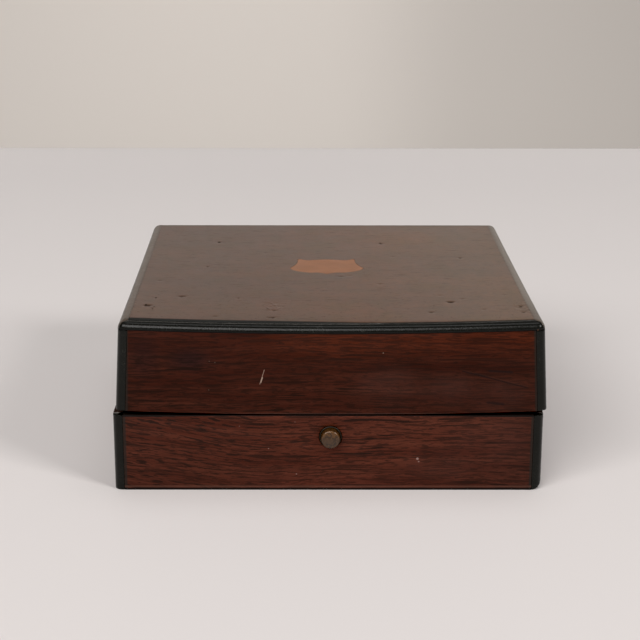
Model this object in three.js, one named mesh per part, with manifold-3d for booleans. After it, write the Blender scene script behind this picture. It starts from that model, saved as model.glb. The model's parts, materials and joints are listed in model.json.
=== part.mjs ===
// A mahogany box with a hinged lid, black edge beads, an inlaid shield and a push-button catch.
// Lengths are millimetres. +X is the box's right, +Y its back and +Z up.
// The origin is the centre of the base's underside.

import * as THREE from 'three';
import { RoundedBoxGeometry } from 'three/addons/geometries/RoundedBoxGeometry.js';
import { TessellateModifier } from 'three/addons/modifiers/TessellateModifier.js';
import { mergeVertices } from 'three/addons/utils/BufferGeometryUtils.js';
import Module from 'manifold-3d';

// Sizes of the case
const BOX_WIDTH = 170;
const BOX_DEPTH = 171;
const BASE_HEIGHT = 31.5;
const LID_HEIGHT = 36.5;
const WALL_THICKNESS = 8;
const BOTTOM_THICKNESS = 4;
const BOTTOM_REBATE = 3.5;
const TOP_THICKNESS = 5;
const LINING_THICKNESS = 0.8;
const LINING_MARGIN = 0.5;
const SEAM_GAP = 0.3;
const GLUE_GAP = 0.15;

// Edge beads: square strips let into the corners, rounded off with the case
const BEAD_WIDTH = 3.9;
const TOP_BEAD_HEIGHT = 3.3;
const EDGE_ROUNDING = 3.1;

// What age did to the lid: its front corners rise, its sides lean in, and it sits askew
const LID_CUP = 1.66;
const LID_LEAN = 2.1;
const LID_SHIFT_FRONT = 1.2;
const LID_SHIFT_BACK = -0.8;
const FACET_LENGTH = 24;

// Shield let into the lid, from its width and depth
const SHIELD_WIDTH = 32.8;
const SHIELD_DEPTH = 25.5;
const SHIELD_THICKNESS = 1.2;
const SHIELD_SETBACK = 4.5;
const SHIELD_ASIDE = -0.4;

// Push button and the ferrule it slides in, a little right of the middle
const BUTTON_BELOW_RIM = 9;
const BUTTON_ASIDE = 0.9;
const BUTTON_RADIUS = 3.8;
const BUTTON_PROUD = 3.5;
const BUTTON_ROUNDING = 0.9;
const BUTTON_TRAVEL = 2.3;
const COLLAR_RADIUS = 4.35;
const STEM_RADIUS = 1.6;
const FERRULE_RADIUS = 4.5;
const FERRULE_DEPTH = 4;
const FERRULE_PROUD = 0.3;
const FERRULE_CHAMFER = 0.25;
const SLIDING_GAP = 0.12;
const STOP_GAP = 0.25;

// Leaf-spring catch on the base and the striker plate that hangs from the lid
const SPRING_THICKNESS = 0.8;
const SPRING_WIDTH = 12;
const SPRING_CLEAR_OF_FLOOR = 1;
const FOOT_HEIGHT = 4.3;
const CRANK_HEIGHT = 1.5;
const CLAMP_LAND = 0.5;
const SPRING_TOP_CLEARANCE = 1.2;
const FLEX_GAP = 0.3;
const NOSE_WIDTH = 6;
const NOSE_HEIGHT = 2.4;
const NOSE_LIP = 0.6;
const NOSE_ABOVE_BUTTON = 4.5;
const STRIKER_THICKNESS = 1;
const STRIKER_WIDTH = 12;
const STRIKER_STANDOFF = 0.3;
const STRIKER_RISE = 13;
const STRIKER_DROP = 6.3;
const STRIKER_BAR = 1.5;
const CATCH_PLAY = 0.4;

// Two butt hinges let into the back rims
const HINGE_LENGTH = 28;
const HINGE_INSET = 19;
const LEAF_THICKNESS = 1.2;
const LEAF_REACH = 6.2;
const BARREL_RADIUS = 1.9;
const BARREL_CLEARANCE = 0.2;
const KNUCKLE_GAP = 0.3;
const PIN_RADIUS = 0.8;
const PIN_CLEARANCE = 0.1;

// Screws
const SCREW_HEAD_RADIUS = 2.1;
const SCREW_HEAD_DEPTH = 1;
const SCREW_SHANK_RADIUS = 1.1;
const SCREW_LENGTH = 6.2;
const SCREW_POINT = 1.6;
const SCREW_SLOT_WIDTH = 0.6;
const SCREW_SLOT_DEPTH = 0.5;
const SCREW_SPACING = 16;
const SCREW_CLEARANCE = 0.12;
const SMALL_SCREW_HEAD_RADIUS = 1.6;
const SMALL_SCREW_HEAD_HEIGHT = 1.1;
const SMALL_SCREW_SHANK_RADIUS = 0.8;
const SMALL_SCREW_LENGTH = 5.5;
const SMALL_SCREW_SPACING = 7;

// Cuts run past the face they open by this much, and corners closer than the other are one
const OVERRUN = 2;
const MERGE_DISTANCE = 0.0001;

// Facets of round work
const TURNED_FACETS = 32;
const BARREL_FACETS = 20;
const SCREW_FACETS = 12;
const AGEING_ROUNDS = 24;
const ARC_STEPS = 5;
const ROUNDING_STEPS = 3;

// Places worked out from the sizes
const HALF_WIDTH = BOX_WIDTH / 2;
const HALF_DEPTH = BOX_DEPTH / 2;
const LID_BOTTOM = BASE_HEIGHT + SEAM_GAP;
const LID_TOP = LID_BOTTOM + LID_HEIGHT;
const INNER_FRONT = -HALF_DEPTH + WALL_THICKNESS;
const BUTTON_Z = BASE_HEIGHT - BUTTON_BELOW_RIM;
const FLOOR_TOP = BOTTOM_THICKNESS + GLUE_GAP + LINING_THICKNESS;
const STRIKER_FRONT = INNER_FRONT + STRIKER_STANDOFF;
const STRIKER_BACK = STRIKER_FRONT + STRIKER_THICKNESS;
const BLADE_FRONT = STRIKER_BACK + CATCH_PLAY;
const BLADE_BACK = BLADE_FRONT + SPRING_THICKNESS;
const FOOT_FRONT = INNER_FRONT + GLUE_GAP;
const FOOT_BACK = FOOT_FRONT + SPRING_THICKNESS;
const FOOT_BOTTOM = FLOOR_TOP + SPRING_CLEAR_OF_FLOOR;
const FOOT_TOP = FOOT_BOTTOM + FOOT_HEIGHT;
const CLAMP_Z = FOOT_TOP + CRANK_HEIGHT + CLAMP_LAND;
const NOSE_BOTTOM = BUTTON_Z + NOSE_ABOVE_BUTTON;
const HINGE_Y = HALF_DEPTH + BARREL_RADIUS + BARREL_CLEARANCE;
const HINGE_Z = BASE_HEIGHT + SEAM_GAP / 2;
const HINGE_SCREW_Y = HALF_DEPTH - LEAF_REACH / 2;

const wasm = await Module();
wasm.setup();

// The four sides, each the front side turned a number of quarter turns about Z
const SIDES = [
  { name: 'front', quarterTurns: 0, halfLength: HALF_WIDTH, outer: HALF_DEPTH },
  { name: 'right', quarterTurns: 1, halfLength: HALF_DEPTH, outer: HALF_WIDTH },
  { name: 'back', quarterTurns: 2, halfLength: HALF_WIDTH, outer: HALF_DEPTH },
  { name: 'left', quarterTurns: 3, halfLength: HALF_DEPTH, outer: HALF_WIDTH },
];

const CORNERS = [
  { name: 'front_left', x: -1, y: -1 },
  { name: 'front_right', x: 1, y: -1 },
  { name: 'back_left', x: -1, y: 1 },
  { name: 'back_right', x: 1, y: 1 },
];

const HANDS = [
  { name: 'left', sign: -1 },
  { name: 'right', sign: 1 },
];

// Materials
function material(colour, roughness, metalness) {
  return new THREE.MeshStandardMaterial({ color: new THREE.Color(colour), roughness, metalness });
}

const mahogany = () => material('#47231b', 0.42, 0);
const topMahogany = () => material('#4f3a30', 0.45, 0);
const ebonised = () => material('#17150f', 0.4, 0);
const satinwood = () => material('#96694a', 0.45, 0);
const brass = () => material('#7d6644', 0.35, 0.95);
const springSteel = () => material('#6f7174', 0.4, 0.9);
const felt = () => material('#3d1c22', 0.95, 0);

// Solids and meshes
function toSolid(geometry) {
  const bare = new THREE.BufferGeometry();
  bare.setAttribute('position', geometry.getAttribute('position'));
  bare.setIndex(geometry.index);
  const merged = mergeVertices(bare, MERGE_DISTANCE);
  const corners = merged.index.array;
  const kept = [];
  for (let first = 0; first < corners.length; first += 3) {
    const [a, b, c] = corners.subarray(first, first + 3);
    if (a !== b && b !== c && c !== a) {
      kept.push(a, b, c);
    }
  }
  const vertProperties = new Float32Array(merged.getAttribute('position').array);
  return new wasm.Manifold(new wasm.Mesh({ numProp: 3, vertProperties, triVerts: new Uint32Array(kept) }));
}

function toGeometry(solid) {
  const mesh = solid.getMesh();
  const geometry = new THREE.BufferGeometry();
  geometry.setAttribute('position', new THREE.BufferAttribute(mesh.vertProperties, mesh.numProp));
  geometry.setIndex(new THREE.BufferAttribute(mesh.triVerts, 1));
  return geometry;
}

function piece(name, solid, look) {
  const geometry = toGeometry(solid);
  geometry.computeVertexNormals();
  const mesh = new THREE.Mesh(geometry, look);
  mesh.name = name;
  return mesh;
}

function joined(solids) {
  return solids.reduce((whole, next) => whole.add(next));
}

function cut(solid, cutters) {
  return cutters.reduce((whole, next) => whole.subtract(next), solid);
}

// Simple forms, each placed where it is used
function block(low, high) {
  const size = high.map((value, axis) => value - low[axis]);
  const centre = high.map((value, axis) => (value + low[axis]) / 2);
  return toSolid(new THREE.BoxGeometry(...size).translate(...centre));
}

function extruded(outline, length) {
  const shape = new THREE.Shape(outline.map(([x, y]) => new THREE.Vector2(x, y)));
  return new THREE.ExtrudeGeometry(shape, { depth: length, bevelEnabled: false });
}

function upright(outline, bottom, top, quarterTurns = 0) {
  const geometry = extruded(outline, top - bottom).translate(0, 0, bottom);
  return toSolid(geometry.rotateZ(quarterTurns * Math.PI / 2));
}

// An outline drawn in Y and Z, as wide as asked across X and centred on it
function sideProfile(outline, width) {
  const geometry = extruded(outline, width).translate(0, 0, -width / 2);
  const axes = [new THREE.Vector3(0, 1, 0), new THREE.Vector3(0, 0, 1), new THREE.Vector3(1, 0, 0)];
  return toSolid(geometry.applyMatrix4(new THREE.Matrix4().makeBasis(...axes)));
}

function arc(centreX, centreY, radius, fromDegrees, toDegrees) {
  const points = [];
  for (let step = 0; step <= ARC_STEPS; step += 1) {
    const angle = THREE.MathUtils.degToRad(THREE.MathUtils.lerp(fromDegrees, toDegrees, step / ARC_STEPS));
    points.push([centreX + radius * Math.cos(angle), centreY + radius * Math.sin(angle)]);
  }
  return points;
}

// Turned work about Y, from a profile of radius and height that runs upwards
function turned(profile, facets) {
  return new THREE.LatheGeometry(profile.map(([radius, height]) => new THREE.Vector2(radius, height)), facets);
}

function barAlongX(radius, from, to) {
  const geometry = new THREE.CylinderGeometry(radius, radius, to - from, BARREL_FACETS);
  return geometry.rotateZ(Math.PI / 2).translate((from + to) / 2, HINGE_Y, HINGE_Z);
}

// Case work
function wallPlank(side, bottom, top) {
  const outerEnd = side.halfLength - BEAD_WIDTH - GLUE_GAP;
  const innerEnd = side.halfLength - WALL_THICKNESS - GLUE_GAP;
  const rebate = side.outer - BEAD_WIDTH;
  const inner = side.outer - WALL_THICKNESS;
  const outline = [
    [-outerEnd, -side.outer],
    [outerEnd, -side.outer],
    [outerEnd, -rebate],
    [innerEnd, -inner],
    [-innerEnd, -inner],
    [-outerEnd, -rebate],
  ];
  return upright(outline, bottom, top, side.quarterTurns);
}

// A sheet whose edges lie a given distance inside the faces of the case
function sheet(inset, bottom, top) {
  const x = HALF_WIDTH - inset;
  const y = HALF_DEPTH - inset;
  return block([-x, -y, bottom], [x, y, top]);
}

// The case as a block with every edge rounded, to round off the beads
function roundedCase(bottom, top) {
  const geometry = new RoundedBoxGeometry(BOX_WIDTH, BOX_DEPTH, top - bottom, ROUNDING_STEPS, EDGE_ROUNDING);
  return toSolid(geometry.translate(0, 0, (top + bottom) / 2));
}

function cornerBead(corner, bottom, top, rounding) {
  const near = [corner.x * (HALF_WIDTH - BEAD_WIDTH), corner.y * (HALF_DEPTH - BEAD_WIDTH)];
  const far = [corner.x * (HALF_WIDTH + OVERRUN), corner.y * (HALF_DEPTH + OVERRUN)];
  const low = [Math.min(near[0], far[0]), Math.min(near[1], far[1]), bottom];
  const high = [Math.max(near[0], far[0]), Math.max(near[1], far[1]), top];
  return block(low, high).intersect(rounding);
}

function topBead(side, rounding) {
  const inner = side.outer - BEAD_WIDTH;
  const outer = side.outer + OVERRUN;
  const innerEnd = side.halfLength - BEAD_WIDTH - GLUE_GAP;
  const outerEnd = side.halfLength + OVERRUN - GLUE_GAP;
  const outline = [[-outerEnd, -outer], [outerEnd, -outer], [innerEnd, -inner], [-innerEnd, -inner]];
  return upright(outline, LID_TOP - TOP_BEAD_HEIGHT, LID_TOP + OVERRUN, side.quarterTurns).intersect(rounding);
}

// The lid's wood is split into short facets, then moved to the shape it has taken with age
function aged(solid) {
  const modifier = new TessellateModifier(FACET_LENGTH, AGEING_ROUNDS);
  const geometry = modifier.modify(toGeometry(solid));
  const places = geometry.getAttribute('position');
  for (let index = 0; index < places.count; index += 1) {
    const across = places.getX(index) / HALF_WIDTH;
    const forward = (HALF_DEPTH - places.getY(index)) / BOX_DEPTH;
    const rise = (places.getZ(index) - LID_BOTTOM) / LID_HEIGHT;
    const shift = THREE.MathUtils.lerp(LID_SHIFT_BACK, LID_SHIFT_FRONT, forward);
    places.setX(index, places.getX(index) - LID_LEAN * across * rise + shift);
    places.setZ(index, places.getZ(index) + LID_CUP * across ** 2 * forward ** 2);
  }
  return toSolid(geometry);
}

// Shield
// Right half of the outline, as shares of half the width and of the depth from the top edge.
const SHIELD_OUTLINE_SHARES = [
  [0, 0.02], [0.3, 0.05], [0.54, 0.08], [0.73, 0], [0.8, 0.03], [0.79, 0.14], [0.81, 0.27],
  [0.86, 0.4], [0.93, 0.51], [1, 0.61], [0.94, 0.72], [0.84, 0.79], [0.7, 0.85], [0.55, 0.89],
  [0.42, 0.91], [0.3, 0.9], [0.17, 0.92], [0.07, 0.96], [0, 1],
];

function shieldPlate(margin, bottom, top) {
  const halfWidth = SHIELD_WIDTH / 2 + margin;
  const halfDepth = SHIELD_DEPTH / 2 + margin;
  const right = SHIELD_OUTLINE_SHARES.map(([across, down]) => [across * halfWidth, halfDepth * (1 - 2 * down)]);
  const left = right.slice(1, -1).reverse().map(([x, y]) => [-x, y]);
  const outline = [...right, ...left].map(([x, y]) => [x + SHIELD_ASIDE, y + SHIELD_SETBACK]);
  return upright(outline, bottom, top);
}

// Screws, drawn head up with the underside of a raised head or the top of a sunk one at zero
function sunkScrewForm(growth) {
  const head = SCREW_HEAD_RADIUS + growth;
  const shank = SCREW_SHANK_RADIUS + growth;
  return turned([
    [0, -SCREW_LENGTH - growth],
    [shank, -SCREW_LENGTH + SCREW_POINT - growth],
    [shank, -SCREW_HEAD_DEPTH - growth],
    [head, -growth],
    [head, growth],
    [0, growth],
  ], SCREW_FACETS);
}

function sunkScrew() {
  const slot = block(
    [-SCREW_HEAD_RADIUS - OVERRUN, -SCREW_SLOT_DEPTH, -SCREW_SLOT_WIDTH / 2],
    [SCREW_HEAD_RADIUS + OVERRUN, OVERRUN, SCREW_SLOT_WIDTH / 2],
  );
  return toSolid(sunkScrewForm(0)).subtract(slot);
}

function raisedScrew() {
  const dome = arc(0, 0, SMALL_SCREW_HEAD_RADIUS, 0, 90);
  const flattening = SMALL_SCREW_HEAD_HEIGHT / SMALL_SCREW_HEAD_RADIUS;
  const form = turned([
    [0, -SMALL_SCREW_LENGTH],
    [SMALL_SCREW_SHANK_RADIUS, -SMALL_SCREW_LENGTH + SCREW_POINT],
    [SMALL_SCREW_SHANK_RADIUS, 0],
    ...dome.map(([radius, height]) => [radius, height * flattening]),
  ], SCREW_FACETS);
  const slot = block(
    [-SMALL_SCREW_HEAD_RADIUS, SMALL_SCREW_HEAD_HEIGHT - SCREW_SLOT_DEPTH, -SCREW_SLOT_WIDTH / 2],
    [SMALL_SCREW_HEAD_RADIUS, SMALL_SCREW_HEAD_HEIGHT + OVERRUN, SCREW_SLOT_WIDTH / 2],
  );
  return toSolid(form).subtract(slot);
}

// The hole that a raised screw needs through the metal and into the wood behind it
function raisedScrewHole(place) {
  const radius = SMALL_SCREW_SHANK_RADIUS + SCREW_CLEARANCE;
  const depth = SMALL_SCREW_LENGTH + SCREW_CLEARANCE;
  const form = new THREE.CylinderGeometry(radius, radius, depth + OVERRUN, SCREW_FACETS);
  return toSolid(form.translate(place.x, place.y + (OVERRUN - depth) / 2, place.z));
}

function placedMesh(mesh, place, turnAboutX = 0) {
  mesh.position.copy(place);
  mesh.rotation.x = turnAboutX;
  return mesh;
}

// Butt hinges: the base leaf carries the two outer knuckles and the lid leaf the middle one
function hingeCentre(hand) {
  return hand.sign * (HALF_WIDTH - HINGE_INSET - HINGE_LENGTH / 2);
}

function leafPlate(hand, bottom, top, margin, back) {
  const x = hingeCentre(hand);
  const half = HINGE_LENGTH / 2 + margin;
  return block([x - half, HALF_DEPTH - LEAF_REACH - margin, bottom], [x + half, back, top]);
}

// Room for the knuckles of the other leaf, between two distances from the hinge's middle
function knuckleRoom(hand, from, to) {
  const reach = BARREL_RADIUS + KNUCKLE_GAP;
  const x = hingeCentre(hand);
  return block([x + from, HINGE_Y - reach, HINGE_Z - reach], [x + to, HINGE_Y + reach, HINGE_Z + reach]);
}

function sunkScrewPlaces(hand, z) {
  return HANDS.map((side) => new THREE.Vector3(
    hingeCentre(hand) + side.sign * SCREW_SPACING / 2, HINGE_SCREW_Y, z,
  ));
}

function sunkScrewHoles(hand, z, turnAboutX) {
  return sunkScrewPlaces(hand, z).map((place) => toSolid(
    sunkScrewForm(SCREW_CLEARANCE).rotateX(turnAboutX).translate(place.x, place.y, place.z),
  ));
}

const POINT_DOWN = Math.PI / 2;
const POINT_UP = -Math.PI / 2;

function hingeLeaf(hand, bottom, rooms, holes) {
  const half = HINGE_LENGTH / 2;
  const x = hingeCentre(hand);
  const barrel = toSolid(barAlongX(BARREL_RADIUS, x - half, x + half));
  const bore = toSolid(barAlongX(PIN_RADIUS + PIN_CLEARANCE, x - half - OVERRUN, x + half + OVERRUN));
  const plate = leafPlate(hand, bottom, bottom + LEAF_THICKNESS, 0, HINGE_Y);
  return cut(joined([plate, barrel]), [...rooms, bore, ...holes]);
}

function baseLeaf(hand) {
  const middle = HINGE_LENGTH / 6 + KNUCKLE_GAP / 2;
  const rooms = [knuckleRoom(hand, -middle, middle)];
  const holes = sunkScrewHoles(hand, BASE_HEIGHT, POINT_DOWN);
  return hingeLeaf(hand, BASE_HEIGHT - LEAF_THICKNESS, rooms, holes);
}

function lidLeaf(hand) {
  const middle = HINGE_LENGTH / 6 - KNUCKLE_GAP / 2;
  const end = HINGE_LENGTH / 2 + OVERRUN;
  const rooms = [knuckleRoom(hand, -end, -middle), knuckleRoom(hand, middle, end)];
  const holes = sunkScrewHoles(hand, LID_BOTTOM, POINT_UP);
  return hingeLeaf(hand, LID_BOTTOM, rooms, holes);
}

function hingePin(hand) {
  const half = HINGE_LENGTH / 2;
  return toSolid(barAlongX(PIN_RADIUS, hingeCentre(hand) - half, hingeCentre(hand) + half));
}

// Push button, drawn about Y with zero on the front face of the case and + going in
const COLLAR_FRONT = FERRULE_DEPTH + STOP_GAP;
const COLLAR_BACK = WALL_THICKNESS - BUTTON_TRAVEL - STOP_GAP;
const STEM_END = BLADE_FRONT + HALF_DEPTH - FLEX_GAP;
const BUTTON_PLACE = new THREE.Vector3(BUTTON_ASIDE, -HALF_DEPTH, BUTTON_Z);

function pushButton() {
  const shoulder = BUTTON_RADIUS - BUTTON_ROUNDING;
  return toSolid(turned([
    [0, -BUTTON_PROUD],
    ...arc(shoulder, BUTTON_ROUNDING - BUTTON_PROUD, BUTTON_ROUNDING, -90, 0),
    [BUTTON_RADIUS, COLLAR_FRONT],
    [COLLAR_RADIUS, COLLAR_FRONT],
    [COLLAR_RADIUS, COLLAR_BACK],
    [STEM_RADIUS, COLLAR_BACK],
    ...arc(0, STEM_END - STEM_RADIUS, STEM_RADIUS, 0, 90),
  ], TURNED_FACETS));
}

function buttonFerrule() {
  const bore = BUTTON_RADIUS + SLIDING_GAP;
  return toSolid(turned([
    [bore, -FERRULE_PROUD],
    [FERRULE_RADIUS - FERRULE_CHAMFER, -FERRULE_PROUD],
    [FERRULE_RADIUS, FERRULE_CHAMFER - FERRULE_PROUD],
    [FERRULE_RADIUS, FERRULE_DEPTH],
    [bore, FERRULE_DEPTH],
    [bore, -FERRULE_PROUD],
  ], TURNED_FACETS));
}

function buttonBore() {
  const radius = FERRULE_RADIUS + GLUE_GAP;
  const length = WALL_THICKNESS + 2 * OVERRUN;
  const form = new THREE.CylinderGeometry(radius, radius, length, TURNED_FACETS);
  return toSolid(form.translate(BUTTON_ASIDE, -HALF_DEPTH + WALL_THICKNESS / 2, BUTTON_Z));
}

// Leaf spring: a cranked foot screwed to the wall, and the blade above it with a nose that bolts the lid
function smallScrewPlaces(y, z) {
  return HANDS.map((side) => new THREE.Vector3(side.sign * SMALL_SCREW_SPACING / 2, y, z));
}

const FOOT_SCREWS = smallScrewPlaces(FOOT_BACK + SCREW_CLEARANCE, (FOOT_BOTTOM + FOOT_TOP) / 2);
const STRIKER_SCREWS = smallScrewPlaces(
  STRIKER_BACK + SCREW_CLEARANCE, LID_BOTTOM + STRIKER_RISE - SMALL_SCREW_SPACING / 2,
);

function springFoot() {
  const foot = sideProfile([
    [FOOT_FRONT, FOOT_BOTTOM],
    [FOOT_BACK, FOOT_BOTTOM],
    [FOOT_BACK, FOOT_TOP],
    [BLADE_BACK, FOOT_TOP + CRANK_HEIGHT - CLAMP_LAND],
    [BLADE_BACK, CLAMP_Z],
    [BLADE_FRONT, CLAMP_Z],
    [BLADE_FRONT, FOOT_TOP + CRANK_HEIGHT],
    [FOOT_FRONT, FOOT_TOP + CLAMP_LAND],
  ], SPRING_WIDTH);
  return cut(foot, FOOT_SCREWS.map(raisedScrewHole));
}

function springBlade() {
  const strip = sideProfile([
    [BLADE_FRONT, CLAMP_Z + FLEX_GAP],
    [BLADE_BACK, CLAMP_Z + FLEX_GAP],
    [BLADE_BACK, BASE_HEIGHT - SPRING_TOP_CLEARANCE],
    [BLADE_FRONT, BASE_HEIGHT - SPRING_TOP_CLEARANCE],
  ], SPRING_WIDTH);
  const tip = STRIKER_FRONT + SLIDING_GAP;
  const root = (BLADE_FRONT + BLADE_BACK) / 2;
  const nose = sideProfile([
    [tip, NOSE_BOTTOM],
    [root, NOSE_BOTTOM],
    [root, NOSE_BOTTOM + NOSE_HEIGHT],
    [BLADE_FRONT, NOSE_BOTTOM + NOSE_HEIGHT],
    [tip, NOSE_BOTTOM + NOSE_LIP],
  ], NOSE_WIDTH);
  return strip.add(nose);
}

function strikerPlate() {
  const half = STRIKER_WIDTH / 2;
  const windowHalf = NOSE_WIDTH / 2 + CATCH_PLAY;
  const bottom = LID_BOTTOM - STRIKER_DROP;
  const plate = block(
    [-half, STRIKER_FRONT, bottom],
    [half, STRIKER_BACK, LID_BOTTOM + STRIKER_RISE],
  );
  const opening = block(
    [-windowHalf, STRIKER_FRONT - OVERRUN, bottom + STRIKER_BAR],
    [windowHalf, STRIKER_BACK + OVERRUN, NOSE_BOTTOM + NOSE_HEIGHT + CATCH_PLAY],
  );
  return cut(plate, [opening, ...STRIKER_SCREWS.map(raisedScrewHole)]);
}

// Base
function baseWalls() {
  const bottomSeat = sheet(WALL_THICKNESS - BOTTOM_REBATE, -OVERRUN, BOTTOM_THICKNESS + GLUE_GAP);
  const cutters = {
    front: [buttonBore(), ...FOOT_SCREWS.map(raisedScrewHole)],
    back: HANDS.flatMap((hand) => [
      leafPlate(hand, BASE_HEIGHT - LEAF_THICKNESS - GLUE_GAP, BASE_HEIGHT + OVERRUN, GLUE_GAP, HINGE_Y),
      ...sunkScrewHoles(hand, BASE_HEIGHT, POINT_DOWN),
    ]),
  };
  return SIDES.map((side) => {
    const plank = wallPlank(side, 0, BASE_HEIGHT);
    const wall = cut(plank, [bottomSeat, ...(cutters[side.name] ?? [])]);
    return piece(`base_${side.name}_wall`, wall, mahogany());
  });
}

function baseCornerBeads() {
  const rounding = roundedCase(-BASE_HEIGHT, 2 * BASE_HEIGHT);
  return CORNERS.map((corner) => {
    const bead = cornerBead(corner, 0, BASE_HEIGHT, rounding);
    return piece(`base_corner_bead_${corner.name}`, bead, ebonised());
  });
}

function baseGroup() {
  const group = new THREE.Group();
  const panelInset = WALL_THICKNESS - BOTTOM_REBATE + GLUE_GAP;
  const liningInset = WALL_THICKNESS + LINING_MARGIN;
  group.add(...baseWalls(), ...baseCornerBeads());
  group.add(piece('base_bottom_panel', sheet(panelInset, 0, BOTTOM_THICKNESS), mahogany()));
  group.add(piece('base_floor_lining', sheet(liningInset, BOTTOM_THICKNESS + GLUE_GAP, FLOOR_TOP), felt()));
  const ferrule = piece('button_ferrule', buttonFerrule(), brass());
  group.add(placedMesh(ferrule, BUTTON_PLACE));
  group.add(piece('catch_spring_foot', springFoot(), springSteel()));
  FOOT_SCREWS.forEach((place, index) => {
    group.add(placedMesh(piece(`catch_screw_${HANDS[index].name}`, raisedScrew(), brass()), place));
  });
  return group;
}

// Lid
function lidWalls() {
  const top = LID_TOP - TOP_BEAD_HEIGHT - GLUE_GAP;
  const topSeat = sheet(BEAD_WIDTH, LID_TOP - TOP_THICKNESS - GLUE_GAP, LID_TOP + OVERRUN);
  const cutters = {
    front: STRIKER_SCREWS.map(raisedScrewHole),
    back: HANDS.flatMap((hand) => [
      leafPlate(hand, LID_BOTTOM - OVERRUN, LID_BOTTOM + LEAF_THICKNESS + GLUE_GAP, GLUE_GAP, HINGE_Y),
      ...sunkScrewHoles(hand, LID_BOTTOM, POINT_UP),
    ]),
  };
  return SIDES.map((side) => {
    const plank = wallPlank(side, LID_BOTTOM, top).subtract(topSeat);
    const wall = cut(aged(plank), cutters[side.name] ?? []);
    return piece(`lid_${side.name}_wall`, wall, mahogany());
  });
}

function lidBeads() {
  const rounding = roundedCase(LID_BOTTOM - LID_HEIGHT, LID_TOP);
  const cornerTop = LID_TOP - TOP_BEAD_HEIGHT - GLUE_GAP;
  const corners = CORNERS.map((corner) => {
    const bead = cornerBead(corner, LID_BOTTOM, cornerTop, rounding);
    return piece(`lid_corner_bead_${corner.name}`, aged(bead), ebonised());
  });
  const edges = SIDES.map((side) => piece(`lid_top_bead_${side.name}`, aged(topBead(side, rounding)), ebonised()));
  return [...corners, ...edges];
}

function lidTop() {
  const panel = sheet(BEAD_WIDTH + GLUE_GAP, LID_TOP - TOP_THICKNESS, LID_TOP);
  const pocket = shieldPlate(GLUE_GAP, LID_TOP - SHIELD_THICKNESS - GLUE_GAP, LID_TOP + OVERRUN);
  const shield = shieldPlate(0, LID_TOP - SHIELD_THICKNESS, LID_TOP);
  const liningTop = LID_TOP - TOP_THICKNESS - GLUE_GAP;
  const lining = sheet(WALL_THICKNESS + LINING_MARGIN, liningTop - LINING_THICKNESS, liningTop);
  return [
    piece('lid_top_panel', aged(panel).subtract(aged(pocket)), topMahogany()),
    piece('shield_inlay', aged(shield), satinwood()),
    piece('lid_lining', aged(lining), felt()),
  ];
}

function lidGroup() {
  const group = new THREE.Group();
  group.add(...lidWalls(), ...lidBeads(), ...lidTop());
  group.add(piece('striker_plate', strikerPlate(), brass()));
  STRIKER_SCREWS.forEach((place, index) => {
    group.add(placedMesh(piece(`striker_screw_${HANDS[index].name}`, raisedScrew(), brass()), place));
  });
  return group;
}

function hingeGroup(hand) {
  const group = new THREE.Group();
  group.add(piece(`hinge_leaf_base_${hand.name}`, baseLeaf(hand), brass()));
  group.add(piece(`hinge_leaf_lid_${hand.name}`, lidLeaf(hand), brass()));
  group.add(piece(`hinge_pin_${hand.name}`, hingePin(hand), brass()));
  const rows = [
    { name: 'base', z: BASE_HEIGHT, turn: POINT_DOWN },
    { name: 'lid', z: LID_BOTTOM, turn: POINT_UP },
  ];
  for (const row of rows) {
    sunkScrewPlaces(hand, row.z).forEach((place, index) => {
      const name = `hinge_screw_${row.name}_${hand.name}_${index + 1}`;
      group.add(placedMesh(piece(name, sunkScrew(), brass()), place, row.turn));
    });
  }
  return group;
}

function buildBox() {
  const box = new THREE.Group();
  box.name = 'wooden_box';
  box.add(baseGroup(), lidGroup(), ...HANDS.map(hingeGroup));
  const button = piece('push_button', pushButton(), brass());
  box.add(placedMesh(button, BUTTON_PLACE));
  box.add(piece('catch_spring_blade', springBlade(), springSteel()));
  return box;
}

export default buildBox();
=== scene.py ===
import json
import math
from contextlib import contextmanager
from functools import reduce

import bmesh
import bpy
from bpy.props import FloatProperty, FloatVectorProperty, PointerProperty
from mathutils import Matrix, Vector


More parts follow.
